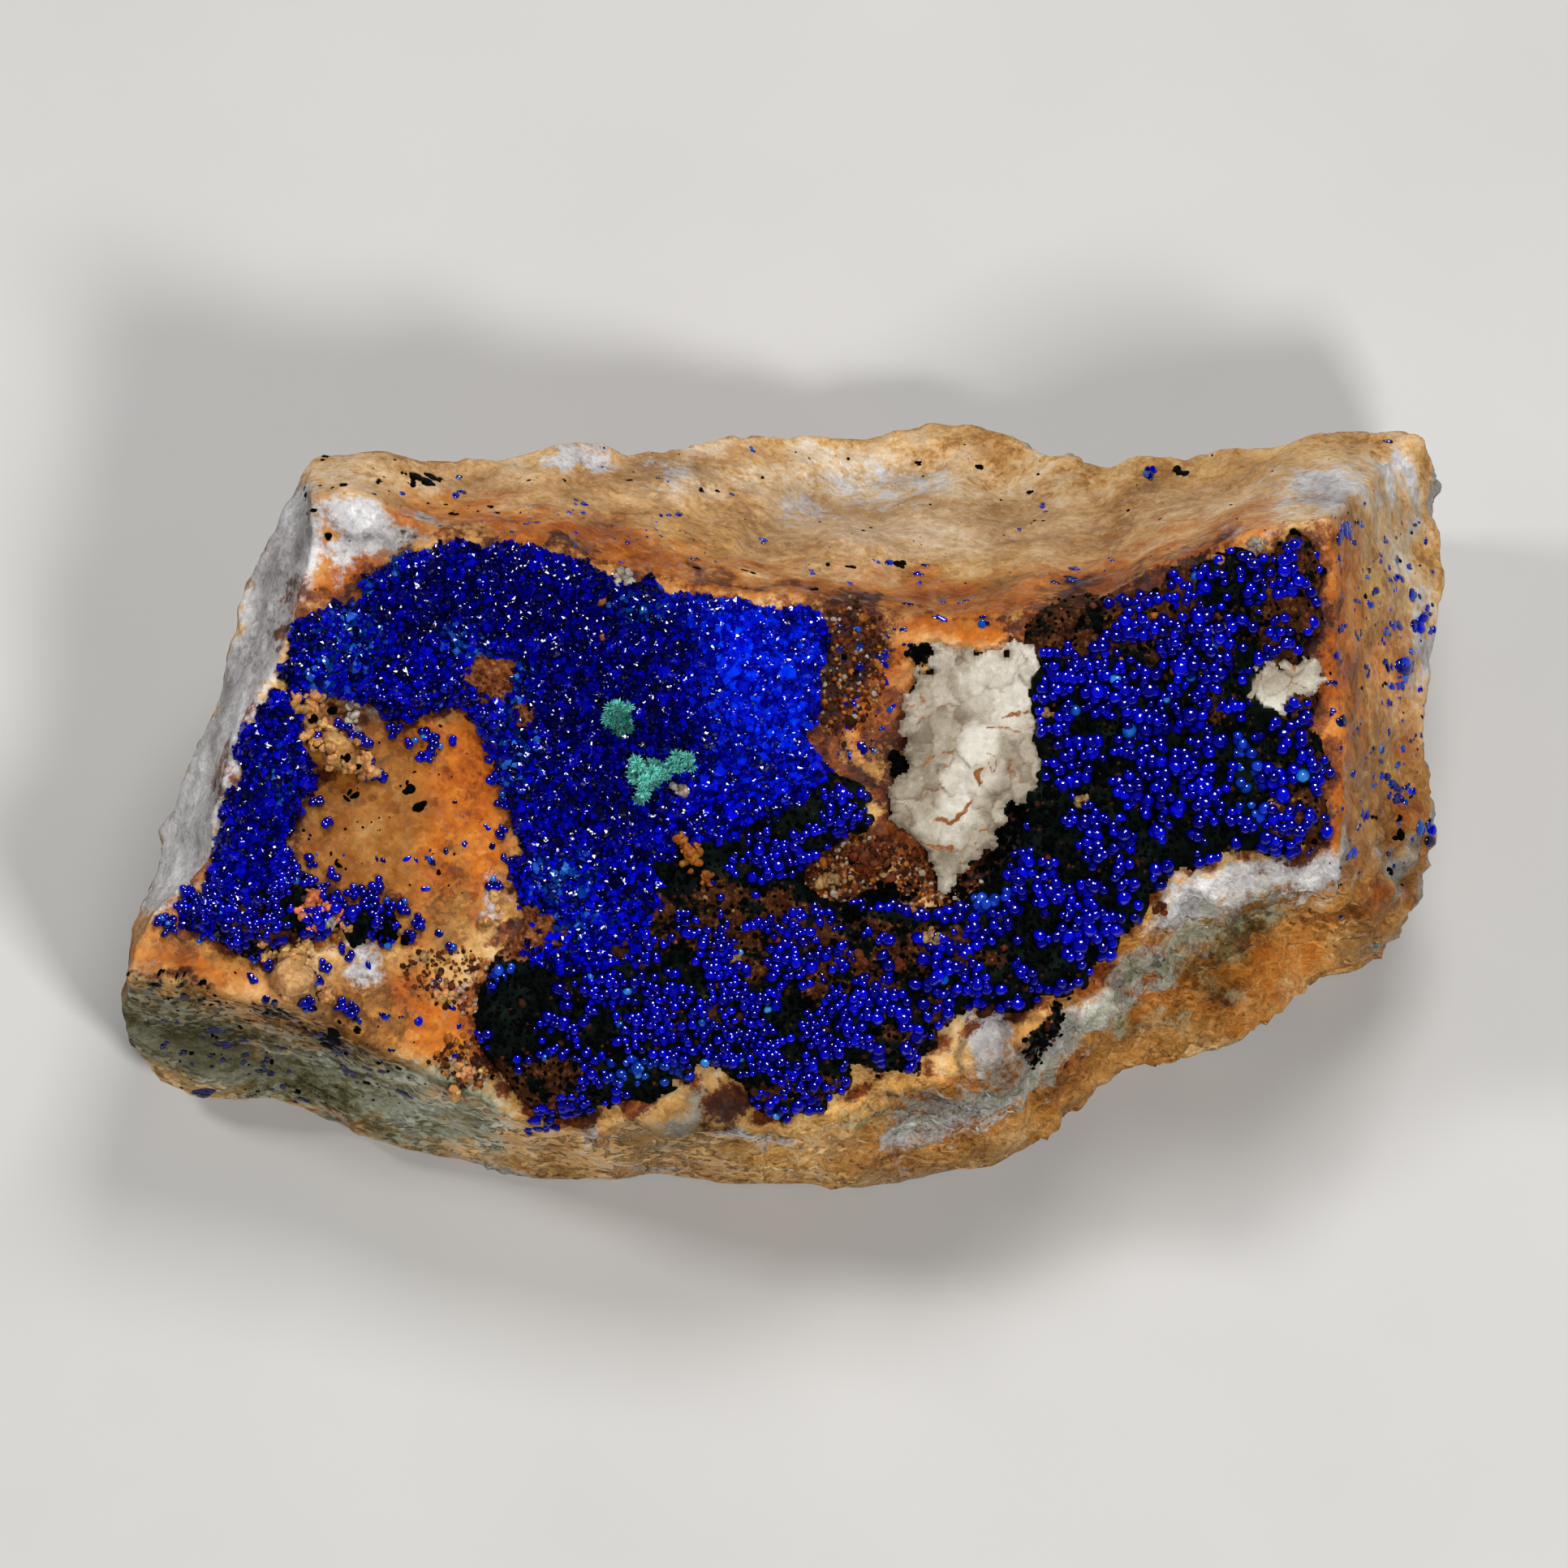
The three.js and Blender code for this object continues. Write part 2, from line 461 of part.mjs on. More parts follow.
function crustGeometry(rock) {
  const cutter = solidOf(prism(CRUST_OUTLINE, -CUTTER_REACH, CUTTER_REACH));
  let crust = solidOf(blanketGeometry()).intersect(cutter);
  const crystals = scattered(CRUST_OUTLINE, CRYSTALS, 0.75, 5, (u) => u < DRUSE_LIMIT);
  crystals.forEach(([u, v], index) => {
    const stretched = new THREE.OctahedronGeometry(CRYSTAL_SIZE).scale(1, 0.75, 1.5);
    crust = crust.add(lump(stretched, u, v, crustTop(u, v), chance(index, 1, 21)));
  });
  const grains = scattered(CRUST_OUTLINE, GRAINS, 0.8, 9, (u, v) => u > DRUSE_LIMIT || v < -8);
  grains.forEach(([u, v], index) => {
    const radius = GRAIN_RADIUS * (0.75 + 0.5 * chance(index, 2, 22));
    const round = new THREE.IcosahedronGeometry(radius);
    crust = crust.add(lump(round, u, v, crustTop(u, v), chance(index, 1, 23)));
  });
  return geometryOf(largest(crust.subtract(solidOf(moved(rock, 0, 0, GAP)))));
}

// A low mass of intergrown quartz: an outline with a faceted grain at each chosen place.
function quartzGeometry(outline, thickness, grainRadius, count, seed, rock, crust) {
  const [u0, v0] = outline[0];
  const height = relief(u0, v0);
  let mass = solidOf(prism(outline, height - 4, height + GAP + thickness));
  scattered(outline, count, grainRadius * 0.7, seed, () => true).forEach(([u, v], index) => {
    const grain = new THREE.IcosahedronGeometry(grainRadius * (0.85 + 0.3 * chance(index, seed, 31)));
    grain.scale(1, 0.8, 0.8);
    mass = mass.add(lump(grain, u, v, relief(u, v) + GAP + thickness * 0.6, chance(index, seed, 32)));
  });
  mass = mass.subtract(solidOf(moved(rock, 0, 0, GAP)));
  for (const [du, dv] of [[GAP, 0], [-GAP, 0], [0, GAP], [0, -GAP]]) {
    mass = mass.subtract(solidOf(moved(crust, du, dv, 0)));
  }
  return geometryOf(largest(mass));
}

// A malachite tuft: a low cushion bristling with blunt fibres that lean outwards.
function tuftGeometry(outline, fibres, seed, crust) {
  const corners = outline.map(([u, v]) => new THREE.Vector2(u, v));
  const middle = new THREE.Box2().setFromPoints(corners).getCenter(new THREE.Vector2());
  const base = crustTop(middle.x, middle.y);
  let tuft = solidOf(prism(outline, base - CRUST_THICKNESS * 0.7, base + TUFT_CUSHION));
  scattered(outline, fibres, 0.16, seed, () => true).forEach(([u, v], index) => {
    const fibre = new THREE.ConeGeometry(0.26, 1.3, 5).rotateX(Math.PI / 2);
    fibre.rotateY((u - middle.x) * FIBRE_LEAN).rotateX(-(v - middle.y) * FIBRE_LEAN);
    fibre.translate(u, v, base + TUFT_CUSHION + 0.2 + 0.25 * chance(index, seed, 41));
    tuft = tuft.add(solidOf(onFace(fibre)));
  });
  return geometryOf(largest(tuft.subtract(solidOf(moved(crust, 0, 0, GAP)))));
}

const rock = rockGeometry();
const crust = crustGeometry(rock);
const pieces = [
  ["matrix_rock", rock, { color: 0xc79a5e, roughness: 0.75 }],
  ["azurite_crust", crust, { color: 0x0a12a8, roughness: 0.3 }],
  [
    "quartz_cluster_centre",
    quartzGeometry(QUARTZ_CENTRE_OUTLINE, 0.7, 1.3, 12, 3, rock, crust),
    { color: 0xd9d6c8, roughness: 0.35 },
  ],
  [
    "quartz_cluster_right",
    quartzGeometry(QUARTZ_RIGHT_OUTLINE, 0.6, 0.9, 4, 4, rock, crust),
    { color: 0xd9d6c8, roughness: 0.35 },
  ],
  [
    "malachite_tuft_upper",
    tuftGeometry(TUFT_UPPER_OUTLINE, 5, 6, crust),
    { color: 0x4fc79a, roughness: 0.6 },
  ],
  [
    "malachite_tuft_lower",
    tuftGeometry(TUFT_LOWER_OUTLINE, 9, 7, crust),
    { color: 0x35b387, roughness: 0.6 },
  ],
];

// The frame's origin is under the middle of the whole specimen, on the table.
const whole = new THREE.Box3();
for (const [, geometry] of pieces) {
  geometry.computeBoundingBox();
  whole.union(geometry.boundingBox);
}
const centre = whole.getCenter(new THREE.Vector3());
const specimen = new THREE.Group();
for (const [name, geometry, finish] of pieces) {
  geometry.translate(-centre.x, -centre.y, 0);
  const mesh = new THREE.Mesh(geometry, new THREE.MeshStandardMaterial({ metalness: 0, ...finish }));
  mesh.name = name;
  specimen.add(mesh);
}

export default specimen;
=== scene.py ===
import math

import bmesh
import bpy
import numpy as np
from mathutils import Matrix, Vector, noise
from mathutils.bvhtree import BVHTree


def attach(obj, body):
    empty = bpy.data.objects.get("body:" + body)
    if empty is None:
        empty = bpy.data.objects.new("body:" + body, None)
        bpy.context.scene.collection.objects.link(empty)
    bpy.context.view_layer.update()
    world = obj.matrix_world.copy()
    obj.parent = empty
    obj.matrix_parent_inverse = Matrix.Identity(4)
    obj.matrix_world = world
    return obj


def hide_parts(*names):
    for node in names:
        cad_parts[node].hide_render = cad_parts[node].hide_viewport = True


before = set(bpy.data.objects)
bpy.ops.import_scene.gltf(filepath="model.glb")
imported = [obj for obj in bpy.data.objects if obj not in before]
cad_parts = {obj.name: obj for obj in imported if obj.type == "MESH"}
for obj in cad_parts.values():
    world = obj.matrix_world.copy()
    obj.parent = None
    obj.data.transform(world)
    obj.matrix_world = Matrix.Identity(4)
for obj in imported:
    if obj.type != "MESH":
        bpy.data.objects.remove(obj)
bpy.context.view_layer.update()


# The block of vein quartz
# A broken lump of milky quartz, stained tan, orange and rust by iron. Four flaring broken sides run
# round the face that carries the minerals, and the lump lies on a flat broken underside.
MM = 0.001
FACE_TILT = math.radians(22)  # the face leans this far towards the front
FACE_MIDDLE = (-0.02, -3.83, 17.0)  # where the face's own zero lies in the frame, in mm
STONE_CELL = 0.25  # size of the facets of the stone's finished surface, in mm
STONE_SMOOTHING = 6  # how many times those facets are evened out
STONE_FRAY = 0.7  # how far the edges of the stone's patches wander, in mm
STONE_SEED = 1
OVAL_REACH = 1.12  # how far a patch reaches, as a share of its half sizes
SIDE_TOP = -6.0  # below this height over the face the patches wander further, in mm
SIDE_FADE = 5.0  # depth over which they come to do so
BLACK_DEPTH = 3.0  # how far down the sides the black crust reaches, in mm
BLACK_FADE = 1.5  # depth over which it ends
RIM_WIDTH = 0.9  # width of the rusty rim of the stone round the crust, in mm
FOOT_HEIGHT = 1.2  # height over which the relief grows from the flat underside, in mm
UNDERSIDE = 0.05  # how high a facet of the underside may lie, in mm

# Patches of colour on the stone, each an oval on the face: across, up, half width, half height, the
# degrees that it is turned and how strong it is.
WHITE_QUARTZ = [
    (-18.8, 11.5, 1.9, 0.9, -22, 1.0), (-19.6, 10.6, 0.7, 1.2, -35, 1.0),
    (-18.8, -8.2, 0.9, 0.9, 10, 0.95), (-18.6, 3.3, 0.8, 0.5, 0, 0.7), (-16.9, 11.4, 0.8, 0.35, -25, 1.0),
    (-5.0, 14.3, 2.2, 0.8, 10, 0.5), (1.8, 12.6, 1.8, 0.8, 0, 0.46), (4.9, 13.7, 1.8, 0.9, 0, 0.5),
    (-9.7, 15.0, 1.7, 0.7, 10, 0.9), (24.4, 13.3, 2.0, 0.8, 12, 0.75), (28.6, 13.6, 0.9, 2.2, 5, 0.72),
    (28.8, 6.9, 0.7, 2.0, 0, 0.7), (9.2, -11.2, 1.0, 1.8, -12, 0.88), (-4.2, -14.9, 2.2, 0.7, 25, 0.56),
    (-1.5, -15.9, 1.6, 0.4, 0, 0.8), (21.0, 10.9, 0.7, 0.35, 0, 0.9), (2.3, -4.4, 0.8, 0.4, 0, 0.8),
    (-21.4, -12.9, 2.0, 0.7, -18, 0.8), (-19.2, -13.6, 1.6, 0.7, -14, 0.85),
    (-28.6, -11.0, 0.8, 0.5, -20, 0.7), (-14.2, -9.4, 0.4, 0.5, 0, 0.9),
    (-13.6, -12.6, 0.8, 0.4, 10, 0.8), (-12.9, -5.0, 0.4, 0.7, 15, 0.9),
    (-27.8, -5.0, 0.6, 0.9, -20, 0.8), (19.8, -5.3, 1.2, 0.5, 10, 0.8), (-8.4, -16.0, 0.5, 0.3, 0, 0.9),
]
ORANGE_STAIN = [
    (-13.9, 0.2, 1.4, 3.4, 0, 1.0), (-15.6, 2.4, 2.2, 1.2, -20, 0.7), (-13.4, -3.6, 1.2, 2.2, 0, 0.85),
    (-20.3, 11.7, 0.7, 0.8, 0, 0.9), (-20.8, 9.9, 0.9, 0.8, 0, 0.9), (-16.9, 2.4, 0.8, 0.8, 0, 0.8),
    (7.6, 7.4, 2.6, 0.6, 0, 1.0), (4.0, 4.0, 1.6, 2.6, 0, 0.95), (5.4, 6.2, 1.2, 0.8, 0, 0.9),
    (27.5, 5.3, 0.7, 1.8, 0, 0.75), (28.3, 2.6, 0.8, 1.4, 0, 0.75), (28.6, -2.8, 0.5, 1.8, 0, 0.8),
    (26.9, -5.0, 1.4, 1.4, 0, 0.6), (-14.9, -11.0, 2.0, 1.2, -20, 1.0), (-16.6, -9.4, 1.2, 0.8, -10, 0.8),
    (-27.4, -5.8, 1.4, 1.0, 20, 0.7), (16.6, -5.2, 1.2, 0.25, 20, 0.8), (-17.8, -7.0, 1.2, 0.6, 0, 0.7),
    (13.6, -8.8, 1.2, 0.25, 40, 0.8), (8.6, -12.9, 1.4, 0.5, 25, 0.7), (-17.8, -1.0, 4.8, 5.4, 0, 0.42),
    (-19.6, 9.2, 2.4, 0.9, 20, 1.0), (24.6, 4.0, 0.5, 7.6, 0, 0.8), (3.4, 4.4, 1.0, 1.6, 0, 1.0),
    (22.0, -8.8, 2.4, 1.6, 30, 0.5), (9.4, 6.9, 2.2, 0.8, 0, 1.0), (16.4, -9.6, 2.4, 0.7, 32, 0.55),
    (11.6, -13.2, 2.2, 0.6, 24, 0.5), (-15.4, -1.4, 1.6, 3.6, 0, 0.7),
]
RUST = [
    (-18.8, 9.3, 2.0, 0.35, 24, 0.7), (-21.2, 8.4, 1.2, 0.5, 5, 0.62), (2.8, 6.6, 1.9, 1.8, 0, 1.0),
    (2.2, 3.6, 0.9, 2.8, 0, 0.95), (13.5, 8.0, 2.8, 0.8, 15, 0.95), (18.0, 9.1, 4.2, 0.8, 17, 0.9),
    (23.4, 8.3, 1.1, 2.8, 0, 1.0), (23.6, 1.2, 0.9, 3.4, 0, 0.9), (-11.5, -6.8, 1.4, 0.8, 0, 1.0),
    (-14.2, -9.2, 0.9, 0.9, 0, 0.6), (1.2, -4.9, 5.0, 1.5, 0, 0.75), (11.4, 7.1, 1.3, 1.2, 0, 0.95),
    (-13.2, -12.2, 0.7, 1.2, 20, 0.8), (-3.0, -14.6, 0.32, 0.9, -20, 1.0), (4.8, -2.4, 1.4, 1.2, 0, 0.8),
    (-12.4, -9.0, 0.5, 1.2, 0, 0.8), (8.7, 0.4, 4.2, 5.0, -12, 0.72), (-2.6, -14.4, 0.6, 1.1, -20, 0.9),
    (7.4, -3.8, 1.8, 1.6, 0, 0.95), (1.4, 2.0, 0.9, 1.3, 0, 1.0), (2.6, -3.2, 1.6, 0.8, 0, 0.9),
    (4.7, 2.4, 1.2, 2.2, 0, 0.75),
]
BLACK_CRUST = [
    (14.6, -0.6, 6.2, 3.2, 40, 1.0), (-2.4, -8.8, 9.4, 2.8, 0, 1.0), (-9.8, -9.4, 2.2, 1.9, 0, 1.0),
    (5.6, 0.7, 0.5, 0.9, 0, 1.0), (6.1, 5.9, 0.5, 0.3, 0, 1.0), (10.8, -6.4, 2.2, 1.6, 40, 1.0),
    (4.8, -4.9, 1.5, 0.6, 0, 0.9), (11.7, -11.2, 0.5, 1.1, -30, 1.0), (-9.4, -12.6, 1.6, 1.4, 0, 0.9),
    (-26.8, -9.5, 3.6, 0.5, -12, 0.43), (-20.8, -11.5, 3.4, 0.5, -22, 0.43),
    (9.4, -4.9, 2.0, 0.8, 20, 0.9),
]
OCHRE = [
    (-17.6, -1.5, 4.8, 5.4, 0, 1.0), (-26.0, -7.0, 3.4, 2.0, -10, 0.85),
    (-16.6, -10.6, 4.4, 2.2, -16, 0.95), (25.4, 3.0, 0.9, 8.6, 0, 0.9), (19.0, -8.0, 7.2, 2.8, 22, 0.95),
    (9.5, -14.2, 6.2, 1.6, 22, 0.95), (6.0, 8.9, 8.0, 0.5, 3, 0.8), (-10.0, 11.6, 7.0, 0.6, -10, 0.75),
    (27.6, -3.0, 2.0, 4.4, 0, 0.75), (-3.0, 14.6, 5.0, 0.4, 4, 0.6), (14.0, 12.8, 5.0, 0.5, 10, 0.5),
    (3.0, 11.0, 12.0, 2.2, -2, 0.36), (-8.0, 12.8, 8.0, 1.4, -10, 0.36), (16.0, 12.4, 8.0, 1.6, 14, 0.4),
]
MILKY = [
    (4.4, 12.4, 5.0, 2.2, 0, 0.8), (-4.6, 14.4, 3.4, 1.2, 8, 0.8), (11.0, 12.4, 3.0, 1.4, -10, 0.6),
    (24.6, 13.4, 3.0, 1.0, 10, 0.9), (28.6, 12.4, 1.1, 3.6, 0, 0.9), (28.8, 6.6, 0.9, 2.4, 0, 0.8),
    (-20.0, 13.8, 2.0, 0.8, 0, 0.6), (-13.0, 13.6, 2.4, 0.8, -10, 0.6), (-17.4, 3.2, 1.8, 0.9, -20, 0.8),
    (-19.6, -9.6, 1.6, 1.2, 0, 0.7), (27.4, -3.6, 1.4, 1.6, 0, 0.6), (18.0, 12.6, 3.0, 0.8, 10, 0.6),
]
# Where the stone is painted darker, with the bands along the back seams below: painted shade on the olive
# side at the front left, which faces down, and darker stone elsewhere.
DUSKY = [
    (-19.2, -1.0, 3.0, 4.6, 0, 0.6), (9.2, -12.4, 1.6, 1.6, -12, 0.4), (-26.6, -10.2, 3.6, 0.5, -14, 0.6),
    (-26.0, -11.8, 2.8, 1.1, -16, 0.9), (-20.8, -11.6, 2.8, 0.6, -20, 0.6),
    (27.2, -2.0, 2.0, 5.0, 0, 0.45), (2.4, 5.6, 1.8, 3.0, 0, 0.75), (-4.2, -15.0, 2.8, 1.1, 20, 0.85),
    (26.6, 10.6, 2.2, 3.0, 0, 0.35), (-19.6, 8.8, 2.4, 0.8, 20, 0.4),
]
TORN = [(19, -8.6, 8, 3.6, 26, 1), (7, -14.6, 8, 2.0, 15, 1), (28.4, -4.0, 1.4, 3.0, 0, 0.7)]
GLASSY = [(-25.2, 3.6, 2.2, 9.6, -16, 1), (-18.8, 11.5, 2.2, 1.3, -22, 1), (-27.6, -5.4, 1.6, 1.6, 0, 1)]

# The seam at the foot of the ledge behind the crust, in two parts that meet.
BACK_SEAM_LEFT = [
    (-17.0, 11.5), (-13.5, 11.3), (-9.5, 10.7), (-7.4, 10.3), (-4.7, 9.4), (-1.5, 8.9), (1.4, 8.6),
]
BACK_SEAM_RIGHT = [
    (1.4, 8.6), (4.0, 8.0), (6.5, 7.7), (9.0, 7.6), (11.3, 8.1), (15.8, 9.5), (20.4, 11.1),
]

# Bands of colour along the stone, each a line of points across and up the face with half its width.
WHITE_BANDS = [
    ([(-22.1, 12.6), (-22.9, 9.0), (-24.1, 5.0), (-25.7, 0.6), (-27.4, -3.4), (-28.2, -4.6)], 1.3),
    ([(24.5, -3.7), (21.4, -4.2), (19.0, -4.8), (17.5, -5.8)], 1.0), ([(20.4, -5.8), (16.8, -8.2)], 0.36),
    ([(16.8, -8.2), (14.4, -9.8), (12.4, -11.6), (10.4, -13.8)], 0.75),
    ([(10.4, -13.8), (5.4, -15.8)], 0.8),
]
ORANGE_BANDS = [
    ([(-17.0, 12.0), (-13.3, 12.0), (-9.4, 11.2), (-5.0, 9.9)], 0.8),
    ([(-5.0, 9.4), (0.4, 8.7), (4.9, 8.3), (9.0, 8.0), (12.5, 8.9), (17.6, 10.3), (21.3, 11.4)], 0.75),
    ([(24.9, 11.2), (24.9, 6.0), (25.1, 0.0), (24.9, -3.2)], 0.75),
    ([(-29.0, -7.6), (-26.0, -8.4), (-22.6, -9.2)], 0.25),
]
RUST_BANDS = [
    ([(10.6, 7.1), (14.0, 8.0), (18.0, 9.2), (21.8, 10.5), (24.2, 11.0)], 0.25),
    ([(24.0, 11.0), (24.0, 5.0), (24.0, -2.0)], 0.3), ([(-21.9, 9.2), (-22.6, 6.8), (-23.1, 4.8)], 0.25),
    ([(-25.0, 1.4), (-25.6, -0.4)], 0.16),
]
OLIVE_BANDS = [
    ([(-29.9, -10.4), (-26.1, -12.0), (-22.4, -13.2), (-18.8, -14.0), (-14.4, -14.8)], 1.9),
    ([(22.0, -5.4), (18.7, -6.8), (17.2, -8.1), (14.9, -9.4), (12.4, -11.7), (10.6, -13.9)], 0.42),
    ([(18.5, -8.4), (19.6, -9.1), (21.6, -9.3)], 0.12), ([(19.0, -7.0), (20.4, -7.4)], 0.1),
    ([(10.2, -13.5), (7.2, -14.7), (3.0, -15.4)], 0.2),
    ([(14.6, -10.8), (16.6, -10.7), (18.6, -10.9)], 0.1),
]
DARK_BANDS = [
    ([(-29.9, -8.6), (-27.2, -8.6), (-24.6, -9.8), (-21.6, -11.0), (-19.0, -12.2)], 0.1),
    ([(18.8, -8.7), (19.8, -9.3), (21.4, -9.5)], 0.02), ([(13.0, -12.8), (14.0, -12.2)], 0.05),
    (BACK_SEAM_RIGHT, 0.06), (BACK_SEAM_LEFT, 0.12),
]
DUSKY_BANDS = [(BACK_SEAM_RIGHT, 0.05), (BACK_SEAM_LEFT, 0.15)]


def to_face(points):
    """Points of the frame, in metres, as across, up and out of the face, in mm."""
    x, y, z = (points / MM - np.array(FACE_MIDDLE)).T
    up = y * math.cos(FACE_TILT) + z * math.sin(FACE_TILT)
    out = z * math.cos(FACE_TILT) - y * math.sin(FACE_TILT)
    return np.stack([x, up, out], axis=1)


def from_face(points):
    """Points given across, up and out of the face, in mm, in the frame and in metres."""
    across, up, out = points.T
    y = up * math.cos(FACE_TILT) - out * math.sin(FACE_TILT)
    z = up * math.sin(FACE_TILT) + out * math.cos(FACE_TILT)
    return (np.stack([across, y, z], axis=1) + np.array(FACE_MIDDLE)) * MM


def waves(points, size, seed):
    """Smooth noise from about -1 to 1 at points in mm, with lumps of the given size."""
    shifted = points / size + seed * 17.3
    return np.array([noise.noise(Vector(point)) for point in shifted])


def chips(points, size, seed):
    """Facets of the given size at points in mm: 0 in the cracks between them and 1 in their middles."""
    shifted = points / size + seed * 11.7
    near = np.array([noise.voronoi(Vector(point))[0][:2] for point in shifted])
    return np.clip((near[:, 1] - near[:, 0]) * 1.6, 0, 1)


def stirred(places, far, seed):
    """Places moved about by up to some mm, for outlines that wander and fray."""
    moved = places.copy()
    for axis in (0, 1):
        moved[:, axis] += far * waves(places, 2.6 * far, seed + axis)
        moved[:, axis] += 0.45 * far * waves(places, far, seed + 2 + axis)
    return moved


def patch_mask(places, patches, fade):
    """How far inside a list of ovals places lie: 0.5 at an edge, and 1 from some mm inside it."""
    mask = np.zeros(len(places))
    for across, up, half_width, half_height, turn, strength in patches:
        cos, sin = math.cos(math.radians(turn)), math.sin(math.radians(turn))
        along = ((places[:, 0] - across) * cos + (places[:, 1] - up) * sin) / half_width
        beside = ((places[:, 1] - up) * cos - (places[:, 0] - across) * sin) / half_height
        depth = (OVAL_REACH - np.hypot(along, beside)) * (half_width + half_height) / 2
        mask = np.maximum(mask, strength * np.clip(0.5 + depth / (2 * fade), 0, 1))
    return mask


def band_mask(places, bands, fade):
    """The same for a list of bands, each a line of points with half its width."""
    mask = np.zeros(len(places))
    for line, half_width in bands:
        for start, end in zip(np.array(line[:-1]), np.array(line[1:])):
            run = end - start
            share = np.clip((places[:, :2] - start) @ run / (run @ run), 0, 1)
            away = np.linalg.norm(places[:, :2] - start - share[:, None] * run, axis=1)
            mask = np.maximum(mask, np.clip(0.5 + (half_width - away) / (2 * fade), 0, 1))
    return mask


def mesh_points(mesh, value="co"):
    """A mesh's points, in metres, or which way it faces at each, as rows of an array."""
    flat = np.empty(len(mesh.vertices) * 3, dtype=np.float32)
    mesh.vertices.foreach_get(value, flat)
    return flat.reshape(-1, 3).astype(float)


def set_points(mesh, points):
    mesh.vertices.foreach_set("co", points.astype(np.float32).ravel())
    mesh.update()


def set_smooth(mesh, smooth):
    mesh.polygons.foreach_set("use_smooth", [smooth] * len(mesh.polygons))


def paint(mesh, name, *masks):
    """Stores up to three masks on a mesh's points as one colour, for its material to read."""
    colour = np.ones((len(mesh.vertices), 4), dtype=np.float32)
    for channel, mask in enumerate(masks):
        colour[:, channel] = mask
    attribute = mesh.attributes.new(name, "FLOAT_COLOR", "POINT")
    attribute.data.foreach_set("color", colour.ravel())


def show(name, mesh, material, slot, *nodes):
    """Puts a finished mesh in the scene as a piece that rides on the specimen."""
    piece = bpy.data.objects.new(name, mesh)
    bpy.context.scene.collection.objects.link(piece)
    mesh.materials.clear()
    mesh.materials.append(material)
    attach(piece, "root")
    if nodes:
        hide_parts(*nodes)


def remeshed(mesh, cell, smoothing):
    """A copy of a closed mesh with even facets of a given size in mm, its edges softened."""
    draft = bpy.data.objects.new("draft", mesh)
    bpy.context.scene.collection.objects.link(draft)
    grid = draft.modifiers.new("even facets", "REMESH")
    grid.mode = "VOXEL"
    grid.voxel_size = cell * MM
    soften = draft.modifiers.new("soften", "SMOOTH")
    soften.iterations = smoothing
    soften.factor = 0.5
    depsgraph = bpy.context.evaluated_depsgraph_get()
    result = bpy.data.meshes.new_from_object(draft.evaluated_get(depsgraph))
    bpy.data.objects.remove(draft)
    return result


def one_underside(mesh):
    """Makes one face of the flat underside, which needs no fine facets."""
    draft = bmesh.new()
    draft.from_mesh(mesh)
    low = [face for face in draft.faces if all(vertex.co.z < UNDERSIDE * MM for vertex in face.verts)]
    bmesh.ops.dissolve_faces(draft, faces=low, use_verts=True)
    draft.to_mesh(mesh)
    draft.free()


def stone_masks(face, points, facing):
    """Every colour mask of the stone. Where it faces away, noise alone places the colours."""
    places = stirred(face, STONE_FRAY, STONE_SEED)
    deep = np.clip((SIDE_TOP - face[:, 2]) / SIDE_FADE, 0, 1)
    places[:, 0] += deep * (4.0 * waves(points / MM, 4.5, 14) + 1.6 * waves(points / MM, 1.6, 15))
    broad = waves(points / MM, 9, 3) + 0.5 * waves(points / MM, 4, 4)
    hidden = np.clip(0.35 - 1.5 * facing + 0.9 * waves(points / MM, 3.5, 13) + 0.4 * broad, 0, 1)
    nowhere = np.full(len(broad), -1.0)
    masks = {}
    # Each mask: its patches, its bands, how softly they end in mm, and its noise where it is hidden.
    for name, patches, bands, fade, share in (
        ("white", WHITE_QUARTZ, WHITE_BANDS, 0.9, broad - 0.1),
        ("orange", ORANGE_STAIN, ORANGE_BANDS, 1.2, -0.15 - broad),
        ("rust", RUST, RUST_BANDS, 0.8, -0.45 - broad),
        ("black", BLACK_CRUST, [], 0.5, nowhere),
        ("olive", [], OLIVE_BANDS, 1.2, -0.1 - np.abs(broad)),
        ("ochre", OCHRE, [], 1.6, 0.3 - broad),
        ("torn", TORN, [], 1.0, 0.8 * broad - 0.1),
        ("milky", MILKY, [], 2.0, broad),
        ("dusky", DUSKY, DUSKY_BANDS, 0.9, 0.6 * broad - 0.25),
        ("glassy", GLASSY, [], 1.0, broad - 0.3),
        ("dark", [], DARK_BANDS, 0.35, nowhere),
    ):
        seen = np.maximum(patch_mask(places, patches, fade), band_mask(places, bands, fade))
        masks[name] = seen * (1 - hidden) + np.clip(0.5 + share, 0, 1) * hidden
    masks["black"] *= np.clip((face[:, 2] + BLACK_DEPTH) / BLACK_FADE, 0, 1)
    masks["rust"] = np.maximum(masks["rust"], masks["dark"])
    return masks


def distances(mesh, points):
    """How far points, in metres, lie from a mesh."""
    corners = [Vector(point) for point in mesh_points(mesh)]
    tree = BVHTree.FromPolygons(corners, [list(face.vertices) for face in mesh.polygons])
    return np.array([tree.find_nearest(Vector(point))[3] for point in points])


